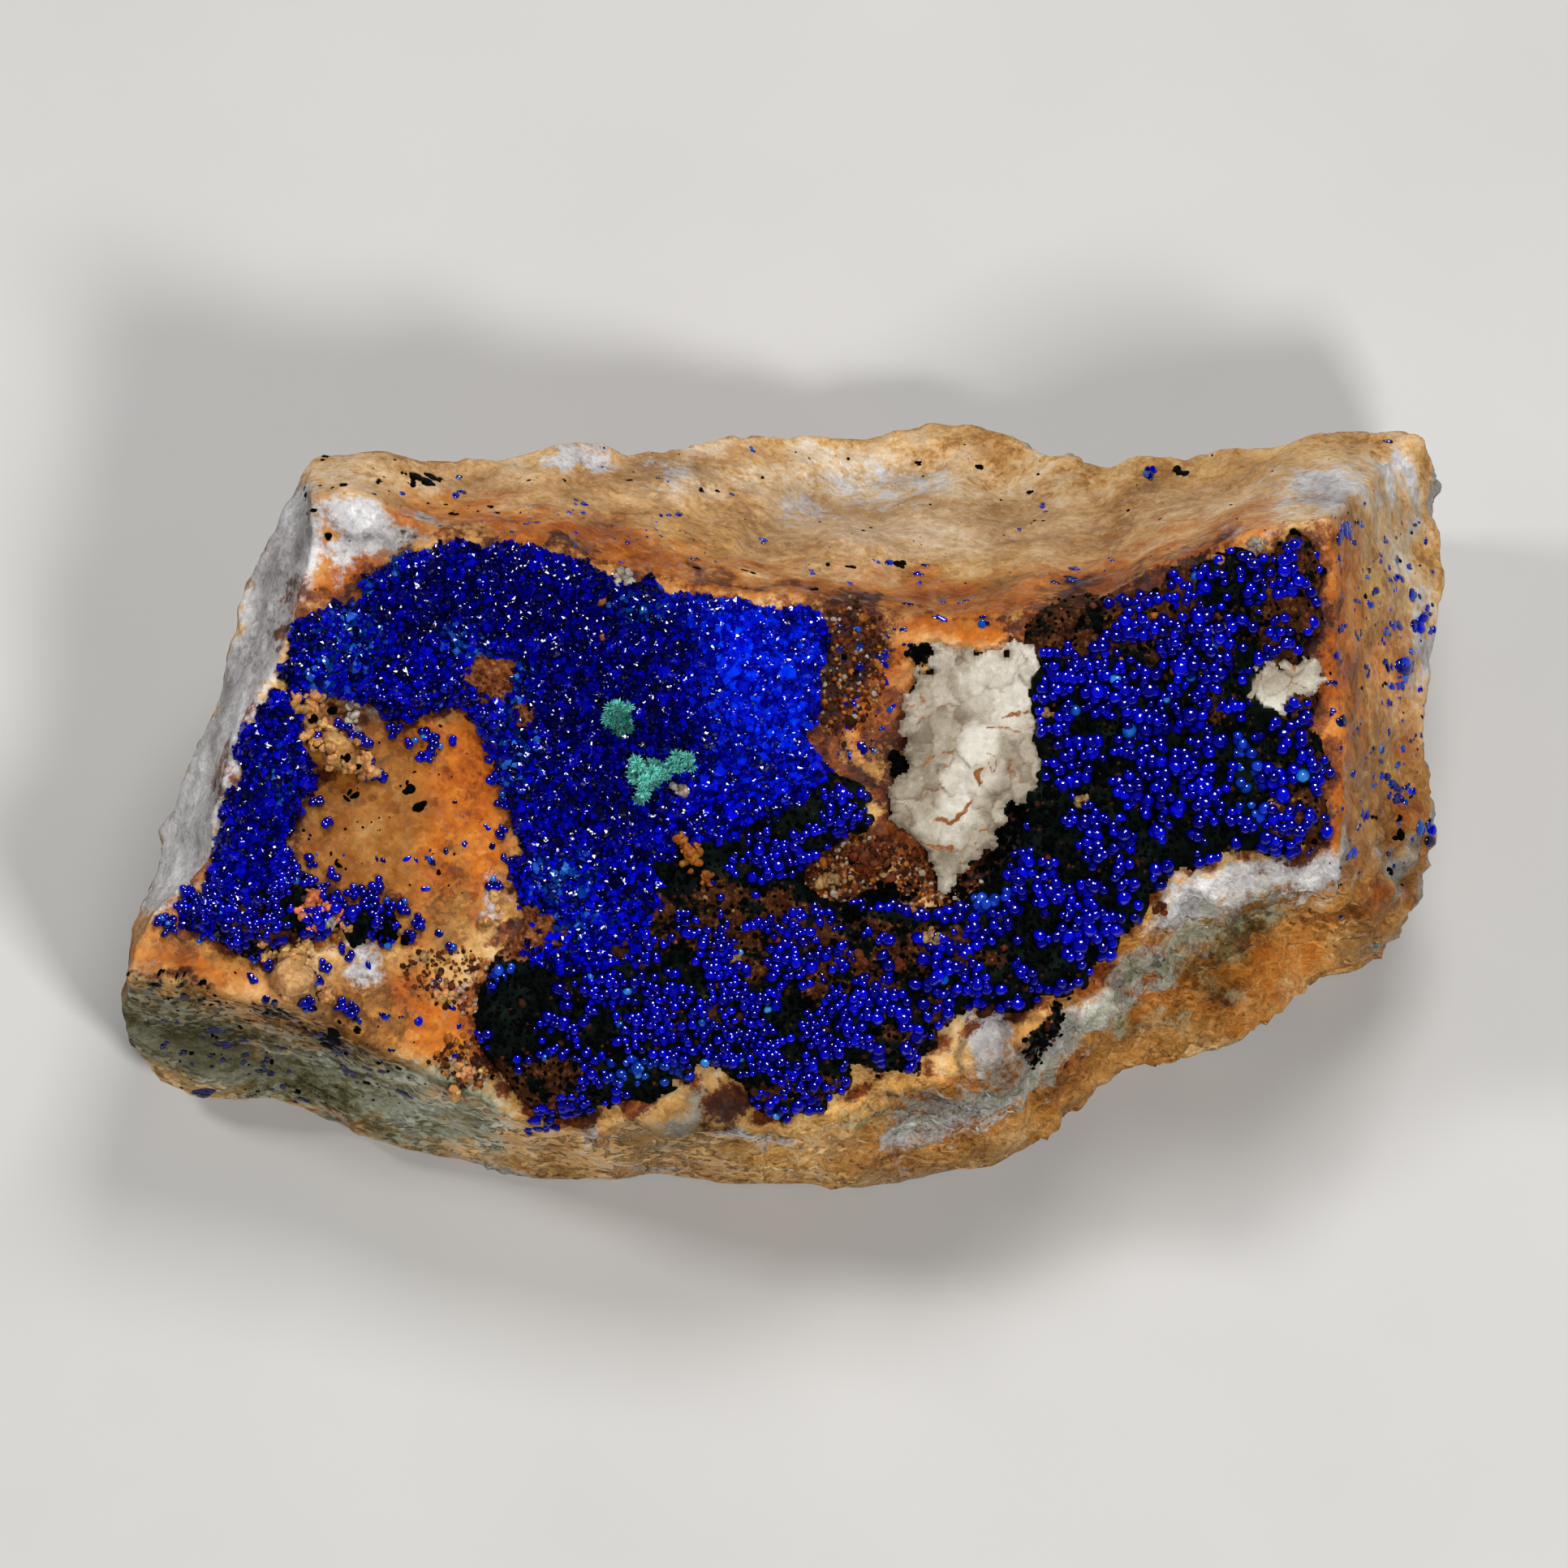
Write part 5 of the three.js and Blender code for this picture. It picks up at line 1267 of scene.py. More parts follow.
# Each knob: across, up, half length, half width, height as a share of those, turn and tone.
KNOBS = [
    (-20.0, 1.5, 1.6, 0.87, 0.5, -25, "peach"), (-18.7, 0.6, 0.73, 0.44, 0.5, -50, "peach"),
    (-21.2, 3.6, 0.95, 0.66, 0.5, -20, "peach"), (-20.6, 2.6, 0.44, 0.29, 0.5, 0, "peach"),
    (-21.5, 2.2, 0.36, 0.29, 0.5, 0, "peach"), (-21.2, -5.2, 0.47, 0.44, 0.9, 0, "coral"),
    (-20.7, -5.5, 0.29, 0.26, 0.9, 0, "coral"), (-21.5, -5.7, 0.44, 0.36, 0.9, 0, "coral"),
    (-20.3, -6.2, 0.33, 0.29, 0.8, 0, "grey"), (-20.0, -5.9, 0.22, 0.22, 0.8, 0, "coral"),
    (-22.0, -8.7, 0.98, 0.87, 0.55, 20, "peach"), (-22.4, -7.8, 0.73, 0.44, 0.6, -10, "peach"),
    (-23.2, -7.6, 0.44, 0.33, 0.6, 0, "peach"), (-20.6, -9.4, 0.55, 0.33, 0.6, -30, "peach"),
    (-21.6, -7.4, 0.36, 0.33, 0.7, 0, "peach"), (-22.1, -6.8, 0.33, 0.26, 0.7, 0, "brown"),
    (-21.1, -6.6, 0.29, 0.26, 0.8, 0, "coral"), (-22.7, -6.7, 0.44, 0.29, 0.6, 0, "brown"),
    (-19.7, -6.4, 0.29, 0.22, 0.7, 0, "peach"), (-20.8, -7.2, 0.26, 0.26, 0.8, 0, "orange"),
    (-20.2, -6.8, 0.26, 0.18, 0.7, 0, "orange"), (-24.1, -5.7, 0.36, 0.29, 0.7, 0, "brown"),
    (-23.5, -7.2, 0.29, 0.22, 0.7, 0, "peach"), (-17.6, -6.7, 1.02, 0.55, 0.45, -15, "soot"),
    (-19.3, 3.1, 0.29, 0.8, 0.35, 0, "grey"), (-7.2, 9.3, 0.51, 0.47, 0.7, 0, "grey"),
    (-4.7, -0.2, 0.4, 0.33, 0.9, 0, "grey"), (-8.2, 8.2, 0.15, 0.29, 0.6, 0, "orange"),
    (-8.1, 6.6, 0.18, 0.15, 0.6, 0, "orange"), (-4.2, -3.2, 0.47, 1.02, 0.5, 10, "orange"),
    (-4.6, -2.5, 0.33, 0.33, 0.6, 0, "orange"), (-3.5, -4.2, 0.36, 0.29, 0.5, 0, "orange"),
    (2.3, -4.3, 0.84, 0.33, 0.6, 8, "tan"), (3.8, -3.4, 0.95, 0.51, 0.4, 0, "rust"),
    (5.1, 0.8, 0.33, 0.55, 0.6, 10, "soot"), (6.2, 5.9, 0.44, 0.33, 0.6, 10, "soot"),
    (4.3, -4.9, 0.73, 0.44, 0.5, 0, "soot"), (3.2, -5.7, 0.51, 0.36, 0.5, 0, "soot"),
    (21.3, 10.7, 0.47, 0.33, 0.7, 15, "grey"), (19.5, 10.1, 0.33, 0.22, 0.6, 0, "peach"),
    (16.9, -5.6, 0.26, 0.22, 0.6, 0, "rust"), (20.2, -3.1, 0.15, 0.15, 0.9, 0, "tan"),
    (-8.2, -16.0, 0.51, 0.33, 0.7, 0, "tan"), (7.8, -7.7, 0.44, 0.51, 0.4, 0, "brown"),
    (5.2, -8.2, 0.33, 0.29, 0.5, 0, "rust"), (9.1, -10.2, 0.36, 0.29, 0.5, 0, "brown"),
    (-2.4, -6.7, 0.33, 0.26, 0.5, 0, "brown"), (3.4, -7.8, 0.44, 0.33, 0.5, 0, "rust"),
    (-7.5, -7.4, 0.51, 0.33, 0.5, 0, "brown"), (-2.2, -7.8, 0.33, 0.26, 0.5, 0, "tan"),
    (6.5, -6.9, 0.58, 0.36, 0.5, 0, "tan"), (19.5, 6.8, 0.36, 0.29, 0.5, 0, "tan"),
    (18.9, 6.2, 0.29, 0.22, 0.5, 0, "rust"), (13.3, -0.7, 0.26, 0.29, 0.5, 0, "tan"),
    (11.8, 3.1, 0.29, 0.29, 0.5, 0, "tan"), (22.0, -0.9, 0.33, 0.22, 0.5, 0, "tan"),
    (22.7, -1.6, 0.22, 0.18, 0.5, 0, "orange"), (-13.0, -5.1, 0.29, 0.51, 0.5, 15, "peach"),
    (-13.4, -6.2, 0.29, 0.29, 0.5, 0, "peach"), (-15.2, -9.4, 0.44, 0.33, 0.5, 0, "peach"),
    (-14.2, -12.9, 0.73, 0.33, 0.5, -15, "peach"), (-14.8, -13.8, 0.33, 0.44, 0.5, 0, "peach"),
]


def landed(tree, across, up):
    """Where places on the face come down on a tree's surface, which way it faces, and which do."""
    hits = struck(tree, across, up)
    found = np.array([point is not None for point, _ in hits])
    points = np.array([point for point, _ in hits if point is not None])
    normals = np.array([normal for _, normal in hits if normal is not None])
    return points, normals, found


# How noise shades a lump's own colour and how a broader noise stains it.
LUMP_SHADES = [(0.28, (0.42, 0.36, 0.32)), (0.5, (0.85, 0.85, 0.85)), (0.72, (1.35, 1.4, 1.5))]
LUMP_STAINS = [(0.35, (0.7, 0.55, 0.45)), (0.55, (1.0, 1.0, 1.0))]


def nodule_finish():
    work = Wiring("nodules")
    colour = work.add("ShaderNodeAttribute", attribute_name="own_colour").outputs["Color"]
    fine = work.noise(0.25, 6, 0.7)
    broad = work.noise(0.8, 4, 0.6)
    for value, stops in ((fine, LUMP_SHADES), (broad, LUMP_STAINS)):
        colour = work.blend(1.0, colour, work.ramp(value, *stops), "MULTIPLY")
    red, _, _ = work.split(colour)
    return work.finished({
        "Base Color": colour,
        "Roughness": work.between(broad, 0.8, 0.3, 0.4, 0.8),
        "Specular IOR Level": work.between(red, 0.0, 0.1, 0.04, 0.3),
        "Normal": work.bump(fine, 0.12),
    })


def knob_lumps():
    """Every knob as a heap of small lumps: where each lies, how high it stands, its size and tone."""
    rows = []
    for across, up, long, wide, high, turn, tone in KNOBS:
        cos, sin = math.cos(math.radians(turn)), math.sin(math.radians(turn))
        rows.append((across, up, 0.0, 0.75 * min(long, wide), tone))
        for _ in range(3 + round(34 * long * wide)):
            angle, away = random.uniform(0, FULL_TURN), math.sqrt(random.uniform(0, 1))
            x, y = long * away * math.cos(angle), wide * away * math.sin(angle)
            rise = high * (long + wide) * 0.55 * (1 - away * away) * random.uniform(0.7, 1.1)
            size = min(random.uniform(0.10, 0.26), 0.5 * wide + 0.04)
            kind = "soot" if long > 0.6 and random.uniform(0, 1) > 0.93 else tone
            rows.append((across + x * cos - y * sin, up + x * sin + y * cos, rise, size, kind))
    return rows


def grow_nodules():
    tree = face_tree(stone_mesh, crust_mesh)
    across, up, rise, size, tone = zip(*knob_lumps())
    points, _, found = landed(tree, across, up)
    rise, size = np.array(rise)[found], np.array(size)[found]
    count = len(points)
    points[:, 2] += rise
    frames = turned_frames(count)
    sizes = size[:, None] * random.uniform(0.75, 1.25, (count, 3))
    mesh, _ = lumpy_mesh("nodules", 2, points, sizes, frames, 0.13)
    shades = np.array([TONES[name] for name, hit in zip(tone, found) if hit])
    shades = shades * random.uniform(0.6, 1.3, (count, 1)) * random.uniform(0.85, 1.1, (count, 3))
    paint_copies(mesh, "own_colour", *shades.T)
    show("nodules", mesh, nodule_material, "matrix")


def grit_on_stone(patches):
    """Places in some patches of the stone that the crust doesn't cover."""
    across, up = spread(GRIT_SPACING * 0.6)
    places = stirred(level_places(across, up), STONE_FRAY, STONE_SEED)
    chosen = patch_mask(places, patches, 0.5) > random.uniform(0.4, 0.9, len(places))
    chosen &= np.isnan(on_crust(crust_height, across, up))
    points, _, _ = landed(face_tree(stone_mesh), across[chosen], up[chosen])
    return points


def grow_grit():
    places, masks = crust_places(GRIT_SPACING)
    crowded = chains(places) + 0.12 - 1.1 * masks["few"] - 0.9 * masks["druse"]
    bare = crowded < random.uniform(-0.1, 0.35, len(places))
    chosen = bare & (masks["druse"] < 0.3) & (masks["share"] > 0.1)
    soot_places = grit_on_stone(BLACK_CRUST)
    rust_places = grit_on_stone(RUSTY_GRIT)
    none, full = np.zeros(len(soot_places)), np.ones(len(rust_places))
    places = np.concatenate([places[chosen], soot_places, rust_places])
    brown = np.concatenate([masks["brown"][chosen], none, full * 1.4])
    rusty = np.concatenate([masks["bare"][chosen], none, full * 0.4])
    count = len(places)
    widths = GRIT_SIZE * random.lognormal(0, 0.35, count)
    sizes = widths[:, None] * random.uniform(0.7, 1.3, (count, 3))
    frames = turned_frames(count)
    kinds = np.array([TONES[name] for name in ("soot", "brown", "rust", "orange", "tan", "grey")])
    pick = 1.05 * random.exponential(0.45, count) + 1.6 * brown * random.exponential(0.6, count)
    pick += 2.2 * rusty
    shades = kinds[np.clip(pick, 0, 5).astype(int)]
    mesh, _ = lumpy_mesh("grit", 1, places, sizes, frames, 0.09)
    paint_copies(mesh, "own_colour", *shades.T)
    show("grit", mesh, nodule_material, "matrix")


nodule_material = nodule_finish()
grow_nodules()
grow_grit()


# Azurite and black specks on the stone
# Where the crust ends, azurite goes on in small clumps of round grains and in flat specks, and black
# oxide in flat specks, thickest near the crust and on the right side.
LIGHT_CLUMP_GRAINS = 0.94  # a grain of a clump whose random number passes this is light blue
OLIVE_EDGE = -18.5  # below this, as up plus 0.4 of across, lies the olive side

# Each clump of grains: across, up and half its width.
CLUMPS = [
    (-27.7, -6.3, 0.51), (-27.1, -5.5, 0.36), (-26.7, -5.0, 0.44), (-26.0, -5.4, 0.51),
    (-25.5, -4.7, 0.44), (-25.0, -5.9, 0.47), (-24.4, -5.2, 0.44), (-23.9, -6.3, 0.36),
    (-26.1, -6.3, 0.29), (-24.6, -7.1, 0.33), (-23.0, -5.8, 0.44), (-22.8, -4.8, 0.44),
    (-22.1, -4.2, 0.44), (-21.3, -4.3, 0.33), (-18.6, -5.2, 0.44), (-19.3, -4.8, 0.36),
    (-19.9, -5.2, 0.36), (-20.6, -4.8, 0.33), (-18.3, -4.5, 0.33), (-18.4, -5.6, 0.29),
    (-17.7, -5.4, 0.29), (-17.1, -5.5, 0.29), (-18.1, -6.2, 0.29), (-16.4, -6.3, 0.26),
    (-16.8, -6.9, 0.29), (-17.8, -7.1, 0.33), (-18.4, -6.7, 0.29), (-16.5, -5.9, 0.18),
    (-19.4, -10.1, 0.33), (-19.9, -9.9, 0.26), (-21.4, -10.0, 0.29), (-21.2, -9.7, 0.22),
    (-21.0, -8.7, 0.29), (-20.7, -8.2, 0.26), (-19.9, -7.4, 0.22), (-19.5, -7.7, 0.22),
    (-23.2, -8.2, 0.29), (-23.7, -7.7, 0.26), (-19.2, 2.2, 0.29), (-18.8, 1.9, 0.29), (-18.4, 0.9, 0.29),
    (-18.1, 0.4, 0.26), (-18.8, 0.4, 0.18), (-20.0, 2.6, 0.22), (-19.5, 2.4, 0.18), (-20.8, 2.2, 0.22),
    (-17.5, 2.4, 0.36), (-17.8, 3.1, 0.26), (-16.7, 1.9, 0.26), (-16.5, 1.3, 0.22), (-16.2, 2.2, 0.26),
    (-15.8, 2.0, 0.26), (-15.6, 1.6, 0.26), (-15.9, 1.2, 0.26), (-16.3, 1.1, 0.22), (-14.8, 1.9, 0.15),
    (-13.3, 2.2, 0.29), (-13.2, 1.3, 0.26), (-13.0, 0.2, 0.29), (-12.6, -0.9, 0.29), (-16.2, 3.9, 0.36),
    (-15.5, 3.5, 0.29), (-18.1, 3.7, 0.26), (-18.4, 4.0, 0.22), (-13.0, -4.5, 0.33), (-12.4, -3.4, 0.29),
    (-15.0, -7.4, 0.22), (-11.3, -15.4, 0.36), (-10.4, -15.3, 0.36), (-9.7, -14.7, 0.29),
    (-10.8, -14.7, 0.29), (-17.3, 4.3, 0.3), (-15.0, 4.4, 0.3), (-14.1, 3.8, 0.26), (-13.4, 3.1, 0.3),
    (-12.9, 2.6, 0.26), (-12.5, -0.2, 0.3), (-12.7, -2.2, 0.26), (-20.9, -0.8, 0.3), (-20.6, -1.6, 0.26),
    (-21.2, -3.4, 0.3), (-20.2, -4.0, 0.26),
]

# Each speck: across, up, half length and half width.
BLUE_SPECKS = [
    (-14.8, 13.1, 0.36, 0.26), (-14.6, 13.3, 0.22, 0.18), (-17.2, 13.1, 0.22, 0.11),
    (-14.7, 13.8, 0.22, 0.11), (-11.3, 11.8, 0.33, 0.15), (-11.5, 11.6, 0.22, 0.11),
    (-9.0, 12.6, 0.33, 0.18), (-9.4, 12.7, 0.15, 0.18), (-1.6, 15.2, 0.22, 0.15),
    (-2.3, 13.1, 0.18, 0.11), (-0.8, 10.9, 0.29, 0.18), (-3.1, 10.0, 0.18, 0.15),
    (-4.4, 11.3, 0.11, 0.07), (4.7, 10.0, 0.26, 0.26), (4.1, 10.0, 0.22, 0.15), (6.3, 9.9, 0.36, 0.15),
    (6.2, 9.5, 0.26, 0.15), (6.0, 9.1, 0.22, 0.11), (5.6, 8.1, 0.29, 0.11), (7.1, 8.2, 0.22, 0.29),
    (8.0, 8.2, 0.33, 0.15), (12.9, 9.3, 0.51, 0.18), (13.1, 9.7, 0.33, 0.22), (12.2, 9.1, 0.26, 0.11),
    (16.6, 14.2, 0.26, 0.44), (14.7, 10.1, 0.22, 0.15), (11.8, 12.6, 0.15, 0.18),
    (10.7, 11.5, 0.18, 0.15), (8.9, 7.5, 0.18, 0.15), (25.0, 10.1, 0.22, 0.18), (24.8, 11.9, 0.15, 0.11),
    (27.8, 10.1, 0.29, 0.22), (27.7, 11.1, 0.15, 0.15), (28.7, 11.9, 0.18, 0.26),
    (27.2, 11.0, 0.18, 0.18), (26.4, 9.5, 0.18, 0.26), (26.7, 8.8, 0.18, 0.44), (26.3, 8.1, 0.29, 0.22),
    (25.8, 8.2, 0.15, 0.22), (27.4, 9.7, 0.18, 0.18), (28.5, 9.9, 0.26, 0.26), (28.7, 7.3, 0.33, 0.44),
    (29.1, 7.7, 0.22, 0.26), (28.6, 7.0, 0.26, 0.26), (28.4, 6.0, 0.22, 0.33), (27.2, 6.8, 0.18, 0.29),
    (25.3, 7.1, 0.18, 0.15), (26.4, 5.0, 0.18, 0.15), (27.7, 4.8, 0.22, 0.15), (24.6, 4.4, 0.18, 0.36),
    (24.8, 3.4, 0.29, 0.18), (24.6, 3.1, 0.18, 0.15), (25.9, 2.4, 0.15, 0.22), (26.9, 1.1, 0.15, 0.33),
    (27.0, 0.4, 0.22, 0.33), (26.7, 0.0, 0.18, 0.22), (27.7, 0.8, 0.18, 0.22), (27.8, -0.7, 0.36, 0.36),
    (27.4, -0.4, 0.22, 0.26), (28.2, -0.1, 0.18, 0.18), (28.6, 2.2, 0.26, 0.18), (28.4, 2.0, 0.18, 0.15),
    (25.1, -1.1, 0.29, 0.11), (25.5, -2.5, 0.15, 0.22), (26.0, -0.9, 0.11, 0.18),
    (27.4, -2.9, 0.15, 0.15), (28.7, -3.2, 0.15, 0.11), (25.9, -4.0, 0.15, 0.15),
    (25.1, -6.0, 0.22, 0.15), (23.6, -3.0, 0.22, 0.18), (29.3, 9.7, 0.15, 0.15), (26.2, 12.6, 0.15, 0.11),
    (27.3, 15.5, 0.22, 0.11), (-14.8, -0.9, 0.18, 0.11), (-18.7, -8.2, 0.26, 0.15),
    (-15.9, -3.4, 0.33, 0.22), (-15.3, -3.1, 0.29, 0.22), (-14.4, -2.7, 0.22, 0.22),
    (-16.8, -3.4, 0.33, 0.15), (-18.1, -3.4, 0.33, 0.15), (-21.2, -2.4, 0.22, 0.15),
    (-21.1, -3.1, 0.15, 0.15), (-19.7, -3.1, 0.11, 0.11), (-15.9, -2.9, 0.15, 0.11),
    (-16.0, -4.7, 0.22, 0.15), (-13.3, -2.0, 0.22, 0.18), (-13.1, -2.8, 0.18, 0.18),
    (-13.5, -1.8, 0.15, 0.15), (-17.9, -10.5, 0.22, 0.4), (-15.7, -8.9, 0.51, 0.18),
    (-15.5, -6.7, 0.26, 0.26), (-14.8, -12.2, 0.26, 0.18), (-14.6, -10.9, 0.18, 0.15),
    (-19.5, -13.1, 0.22, 0.22), (-20.8, -11.4, 0.29, 0.29), (-20.1, -12.0, 0.44, 0.22),
    (-23.0, -11.4, 0.22, 0.11), (-22.6, -11.3, 0.15, 0.11), (-27.0, -9.5, 0.29, 0.26),
    (-25.7, -11.1, 0.51, 0.22), (-25.0, -11.1, 0.29, 0.15), (-24.3, -11.5, 0.29, 0.15),
    (-25.2, -11.8, 0.44, 0.22), (-25.9, -12.3, 0.22, 0.15), (-26.4, -11.4, 0.22, 0.11),
    (-27.4, -10.8, 0.18, 0.15), (-22.6, -11.9, 0.33, 0.15), (-23.2, -13.1, 0.29, 0.18),
    (-23.5, -12.8, 0.22, 0.18), (-25.8, -12.8, 0.22, 0.15), (-24.3, -12.2, 0.22, 0.15),
    (-22.8, -11.8, 0.18, 0.11), (-25.4, -10.0, 0.15, 0.22), (-17.0, -14.0, 0.51, 0.22),
    (-15.0, -10.0, 0.22, 0.18), (-26.2, -7.0, 0.22, 0.18), (-23.5, -7.6, 0.26, 0.29),
    (-23.8, -8.8, 0.26, 0.33), (-23.0, -9.7, 0.29, 0.33), (3.4, 5.3, 0.26, 0.3), (4.5, 5.5, 0.2, 0.34),
    (3.3, 4.0, 0.2, 0.3), (3.2, 3.4, 0.18, 0.26), (2.9, 2.6, 0.22, 0.2), (4.4, 2.5, 0.2, 0.16),
    (3.5, 6.2, 0.2, 0.2), (5.3, 6.9, 0.3, 0.12), (7.1, 7.4, 0.5, 0.16), (9.0, 7.2, 0.24, 0.26),
    (4.0, 1.6, 0.2, 0.2),
]
BLACK_SPECKS = [
    (-16.2, 13.7, 0.58, 0.29), (-15.6, 13.7, 0.29, 0.18), (-16.7, 13.6, 0.29, 0.26),
    (-17.1, 14.0, 0.18, 0.15), (-20.8, 14.7, 0.26, 0.15), (-21.5, 13.3, 0.22, 0.11),
    (-20.9, 13.4, 0.15, 0.11), (-19.8, 13.4, 0.22, 0.15), (-20.3, 13.3, 0.18, 0.07),
    (-21.5, 13.0, 0.29, 0.11), (-21.2, 12.3, 0.15, 0.22), (-17.5, 14.6, 0.15, 0.07),
    (-18.1, 13.8, 0.11, 0.07), (-17.8, 13.2, 0.11, 0.11), (-18.3, 13.0, 0.18, 0.11),
    (-17.2, 12.5, 0.11, 0.07), (-20.5, 11.1, 0.22, 0.22), (-13.3, 12.5, 0.18, 0.15),
    (-12.9, 12.2, 0.22, 0.15), (-13.7, 12.3, 0.15, 0.11), (-14.2, 12.5, 0.15, 0.07),
    (-14.8, 12.1, 0.22, 0.15), (-15.2, 12.6, 0.11, 0.07), (-11.5, 13.7, 0.15, 0.07),
    (-9.9, 13.7, 0.18, 0.11), (-3.7, 13.3, 0.22, 0.15), (-3.0, 13.2, 0.18, 0.11), (2.9, 14.7, 0.15, 0.11),
    (8.9, 14.4, 0.18, 0.18), (-0.9, 13.9, 0.11, 0.11), (-1.7, 11.9, 0.11, 0.07), (-4.7, 11.4, 0.11, 0.07),
    (5.2, 9.9, 0.33, 0.22), (2.9, 9.8, 0.44, 0.15), (-1.7, 9.5, 0.44, 0.15), (-3.9, 9.7, 0.22, 0.11),
    (4.0, 11.6, 0.18, 0.11), (6.0, 14.6, 0.22, 0.11), (18.0, 14.1, 0.33, 0.26), (11.3, 13.3, 0.18, 0.15),
    (11.8, 11.9, 0.15, 0.11), (-16.8, -0.2, 0.33, 0.29), (-16.5, -1.1, 0.4, 0.29),
    (-17.1, 0.0, 0.22, 0.15), (-19.5, 0.9, 0.29, 0.18), (-20.4, 0.8, 0.18, 0.15),
    (-18.9, -1.9, 0.11, 0.11), (-18.5, -1.7, 0.11, 0.11), (-18.1, -1.5, 0.11, 0.11),
    (-19.2, -1.7, 0.11, 0.11), (-19.7, -2.0, 0.15, 0.11), (-21.5, -2.0, 0.15, 0.15),
    (-20.1, -3.5, 0.33, 0.18), (-20.4, -3.1, 0.18, 0.15), (-19.7, -3.8, 0.18, 0.11),
    (-19.7, -0.7, 0.18, 0.36), (-19.3, -0.4, 0.29, 0.15), (-18.2, -2.1, 0.11, 0.07),
    (-17.7, -1.5, 0.07, 0.07), (-22.4, -5.2, 0.11, 0.11), (-19.0, -5.2, 0.11, 0.11),
    (-16.8, -4.5, 0.11, 0.07), (-15.5, -4.0, 0.18, 0.15), (-14.9, -3.2, 0.15, 0.11),
    (-27.9, -8.4, 0.26, 0.11), (-27.1, -8.6, 0.36, 0.11), (-29.5, -8.5, 0.15, 0.18),
    (-26.1, -9.0, 0.22, 0.18), (-25.4, -9.8, 0.29, 0.11), (-26.3, -10.6, 0.11, 0.07),
    (-27.3, -10.2, 0.15, 0.11), (-24.6, -8.5, 0.18, 0.11), (-19.2, -11.1, 0.33, 0.18),
    (-21.5, -6.2, 0.15, 0.11), (-20.3, -11.3, 0.51, 0.36), (-20.6, -11.6, 0.36, 0.29),
    (27.8, -2.3, 0.26, 0.36), (27.4, -3.9, 0.33, 0.18), (26.6, -1.6, 0.15, 0.22),
    (27.8, -1.6, 0.22, 0.15), (25.3, -3.4, 0.11, 0.11),
]

# Areas with more specks, spread at random: how many, left, right, front, back and their half length.
BLUE_AREAS = [
    (110, 24.8, 29.5, -5, 12, 0.17), (50, -28, -16, -14.5, -10, 0.17), (60, -22, 27, 9, 15.5, 0.09),
    (60, 2.2, 5.6, 1.2, 7.6, 0.14), (50, -16, -4, 9.6, 12.4, 0.1),
]
BLACK_AREAS = [
    (70, -23, 27, 8, 15.5, 0.08), (40, -20, -12, -6, 4, 0.07), (45, -28, -16, -14.5, -10, 0.13),
    (25, 24.5, 29.5, -6, 12, 0.1),
]


def grow_clumps():
    tree = face_tree(stone_mesh, crust_mesh)
    grains = []
    for across, up, reach in CLUMPS:
        for _ in range(max(3, round(70 * reach * reach))):
            angle, away = random.uniform(0, FULL_TURN), reach * math.sqrt(random.uniform(0, 1))
            grains.append((across + away * math.cos(angle), up + away * math.sin(angle)))
    points, _, found = landed(tree, *zip(*grains))
    count = len(points)
    points = points + random.uniform(0, 0.18, (count, 1)) * (0, 0, 1)
    sizes = random.uniform(0.12, 0.21, (count, 1)) * random.uniform(0.85, 1.15, (count, 3))
    mesh, shapes = lumpy_mesh("clumps", 2, points, sizes, turned_frames(count), 0.06)
    sky = (random.uniform(0, 1, count) > LIGHT_CLUMP_GRAINS) * 0.8
    paint_copies(mesh, "blue_kind", sky, np.zeros(count), random.uniform(0, 0.6, count))
    # Painted shade: each grain of a clump lighter on its top and dark down its sides.
    paint(mesh, "lightness_value", painted_dome_shades(shapes, points))
    show("azurite_clumps", mesh, grain_material, "azurite", "azurite_crust")


def speck_mesh(name, rows, tree):
    """Flat uneven flakes that lie on the stone, each speck a few of them side by side."""
    flakes = []
    for across, up, long, wide in rows:
        for _ in range(1 + round(22 * long * wide)):
            angle, away = random.uniform(0, FULL_TURN), random.uniform(0, 0.9)
            share = random.uniform(0.35, 0.75)
            x, y = long * away * math.cos(angle), wide * away * math.sin(angle)
            flakes.append((across + x, up + y, share * long, share * wide))
    across, up, long, wide = zip(*flakes)
    points, normals, found = landed(tree, across, up)
    long, wide = np.array(long)[found], np.array(wide)[found]
    steep = np.maximum(normals[:, 2], 0.6)
    level = np.stack([-normals[:, 1], normals[:, 0], 0 * steep], axis=1) + (1e-6, 0, 0)
    level /= np.linalg.norm(level, axis=1)[:, None]
    frames = np.stack([level, np.cross(normals, level), normals], axis=2)
    sizes = np.stack([long, wide / steep, 0.03 + 0.15 * np.minimum(long, wide)], axis=1)
    return lumpy_mesh(name, 2, points, sizes, frames, 0.13)


def seeded_specks(areas):
    """Specks spread at random over areas of the stone."""
    rows = []
    for count, left, right, front, back, size in areas:
        across, up = random.uniform(left, right, count), random.uniform(front, back, count)
        long = size * random.lognormal(0, 0.45, count)
        rows.extend(zip(across, up, long, long * random.uniform(0.4, 1.0, count)))
    return rows


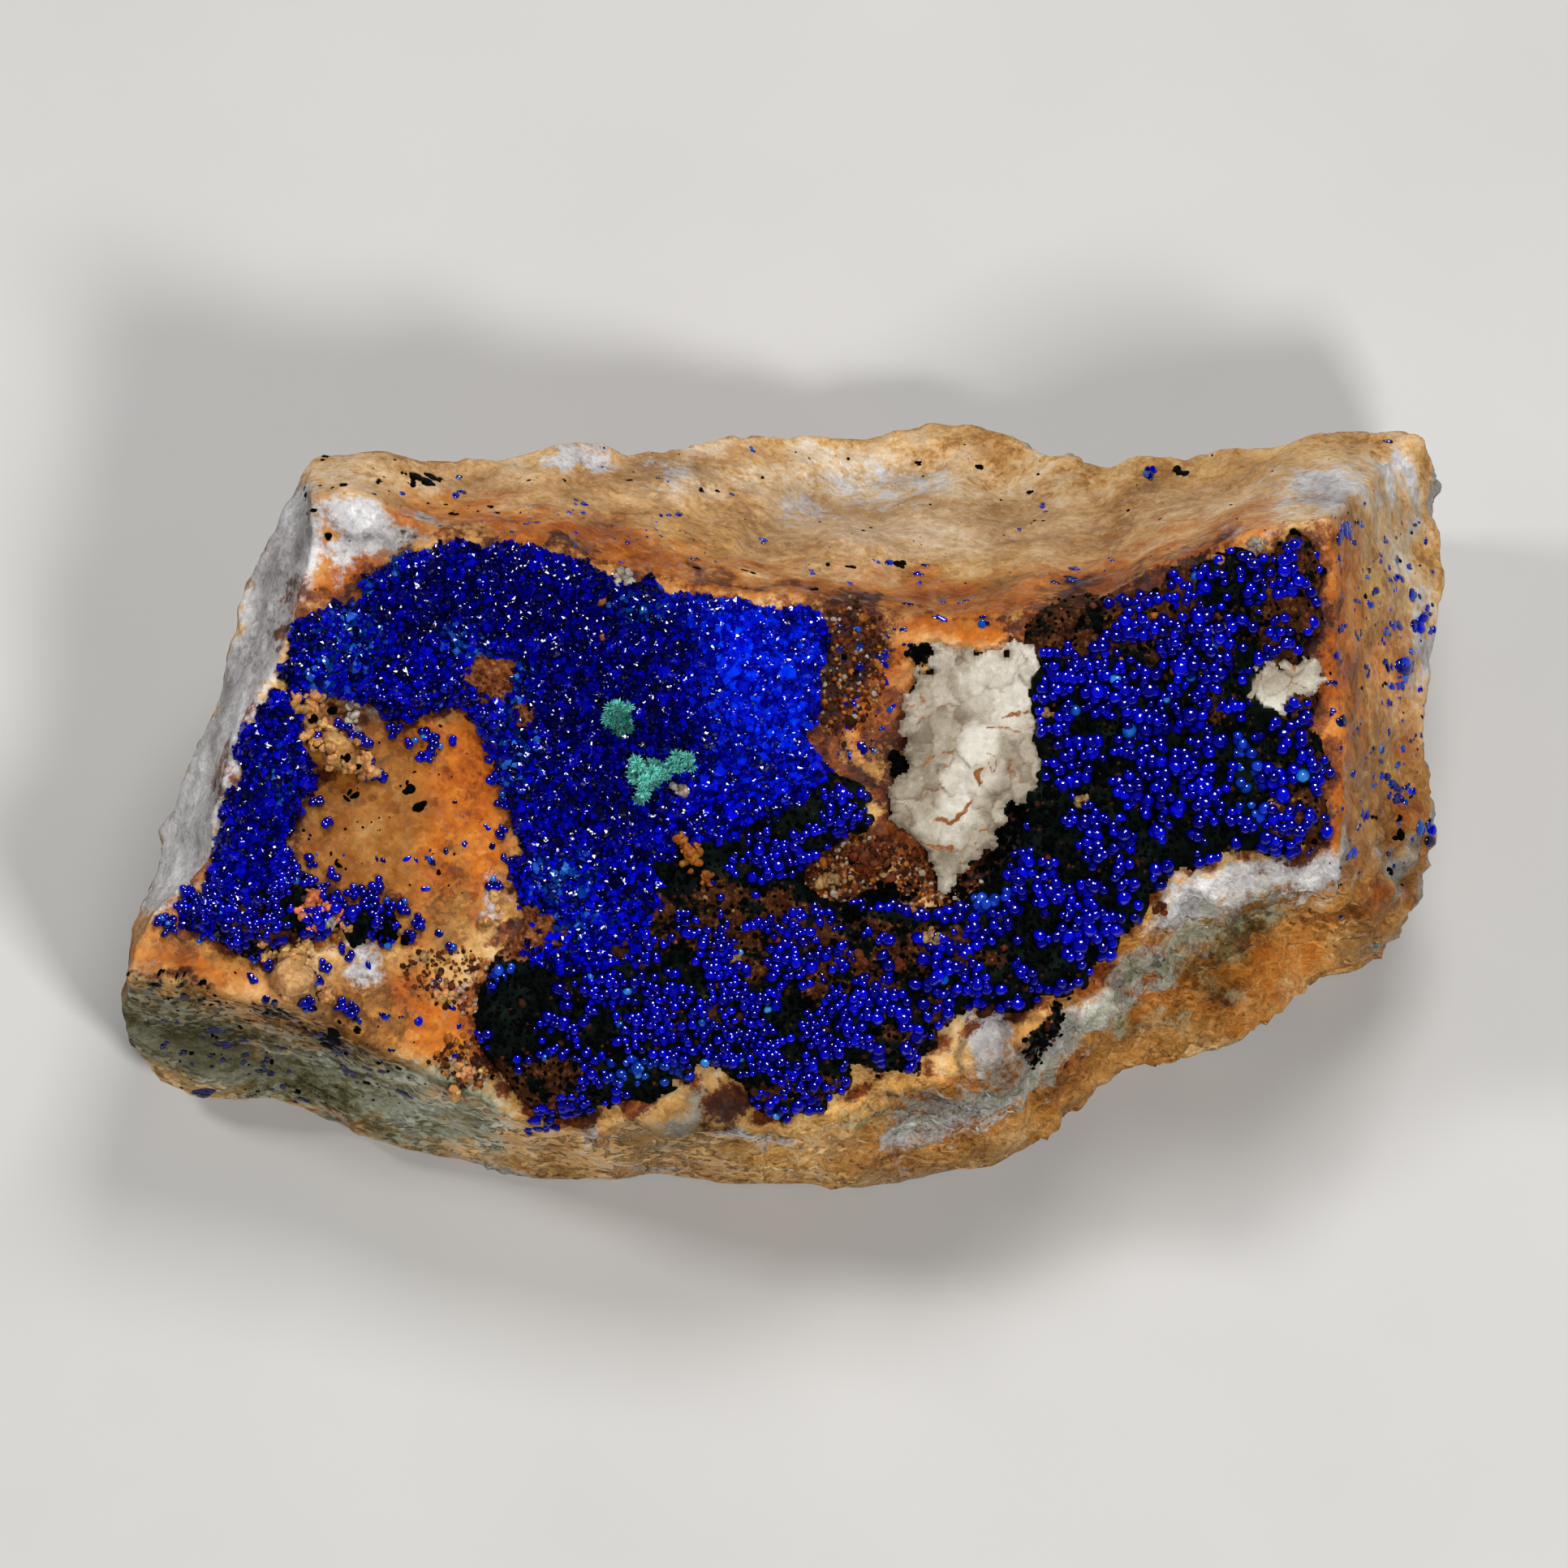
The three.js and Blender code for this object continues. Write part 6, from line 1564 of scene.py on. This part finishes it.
def grow_specks():
    tree = face_tree(stone_mesh)
    mesh, shapes = speck_mesh("blue_specks", BLUE_SPECKS + seeded_specks(BLUE_AREAS), tree)
    count = len(shapes)
    # Those on the olive side at the front left are darker than the rest.
    low_left = shapes[:, 0, :2] @ (0.4, 1) < OLIVE_EDGE
    sky = random.uniform(0, 1, count) ** 5 * 0.7 * ~low_left
    deep = np.where(low_left, 1, random.uniform(0, 1, count))
    paint_copies(mesh, "blue_kind", sky, np.zeros(count), deep)
    paint_copies(mesh, "lightness_value", random.uniform(0, 1, count) * np.where(low_left, 0.55, 1))
    show("azurite_specks", mesh, grain_material, "azurite")
    mesh, _ = speck_mesh("black_specks", BLACK_SPECKS + seeded_specks(BLACK_AREAS), tree)
    paint(mesh, "own_colour", *TONES["soot"])
    show("black_specks", mesh, nodule_material, "matrix")


grow_clumps()
grow_specks()


# The table, the lights and the camera
# A pale matt table top, soft boxes above it, and a camera that looks straight at the mineral face
# from far off, so that the outline shows as it is.
FRAME_WIDTH = 70.4  # width of the picture at the face
CAMERA_AWAY = 1200.0  # distance from the face
SENSOR = 36.0  # width of the camera's sensor
DAYLIGHT = (0.95, 0.97, 1.0, 1)
DAYLIGHT_STRENGTH = 0.022


def lay_table():
    corners = [(-1, -1), (1, -1), (1, 1), (-1, 1)]
    mesh = bpy.data.meshes.new("table_top")
    mesh.from_pydata([(x, y, 0) for x, y in corners], [], [(0, 1, 2, 3)])
    work = Wiring("pale matt table")
    tone = work.ramp(work.noise(30, 3), (0.3, (0.50, 0.49, 0.475)), (0.7, (0.53, 0.52, 0.505)))
    mesh.materials.append(work.finished({"Base Color": tone, "Roughness": 0.85}))
    table = bpy.data.objects.new("table_top", mesh)
    bpy.context.scene.collection.objects.link(table)


def soft_box(name, place, size, power, shines):
    """A square light at a place in the frame, in mm, aimed at the face. Gloss shows it or not."""
    light = bpy.data.lights.new(name, "AREA")
    light.size = size * MM
    light.energy = power
    lamp = bpy.data.objects.new(name, light)
    bpy.context.scene.collection.objects.link(lamp)
    lamp.location = Vector(place) * MM
    aim = Vector(FACE_MIDDLE) * MM - lamp.location
    lamp.rotation_euler = aim.to_track_quat("-Z", "Y").to_euler()
    lamp.visible_glossy = shines


lay_table()
soft_box("key_light", (60, 160, 330), 145, 0.82, True)
soft_box("left_light", (-260, 60, 300), 72, 0.66, False)
soft_box("fill_light", (130, -250, 300), 72, 1.25, False)
world = bpy.data.worlds.new("studio")
world.use_nodes = True
sky_light = world.node_tree.nodes["Background"]
sky_light.inputs["Color"].default_value = DAYLIGHT
sky_light.inputs["Strength"].default_value = DAYLIGHT_STRENGTH
bpy.context.scene.world = world
bpy.context.scene.view_settings.view_transform = "Standard"

lens = bpy.data.cameras.new("face_camera")
lens.sensor_width = SENSOR
lens.lens = SENSOR * CAMERA_AWAY / FRAME_WIDTH
lens.clip_end = 10
camera = bpy.data.objects.new("face_camera", lens)
bpy.context.scene.collection.objects.link(camera)
camera.location = Vector(from_face(np.array([[0.0, 0.0, CAMERA_AWAY]]))[0])
camera.rotation_euler = (FACE_TILT, 0, 0)
bpy.context.scene.camera = camera
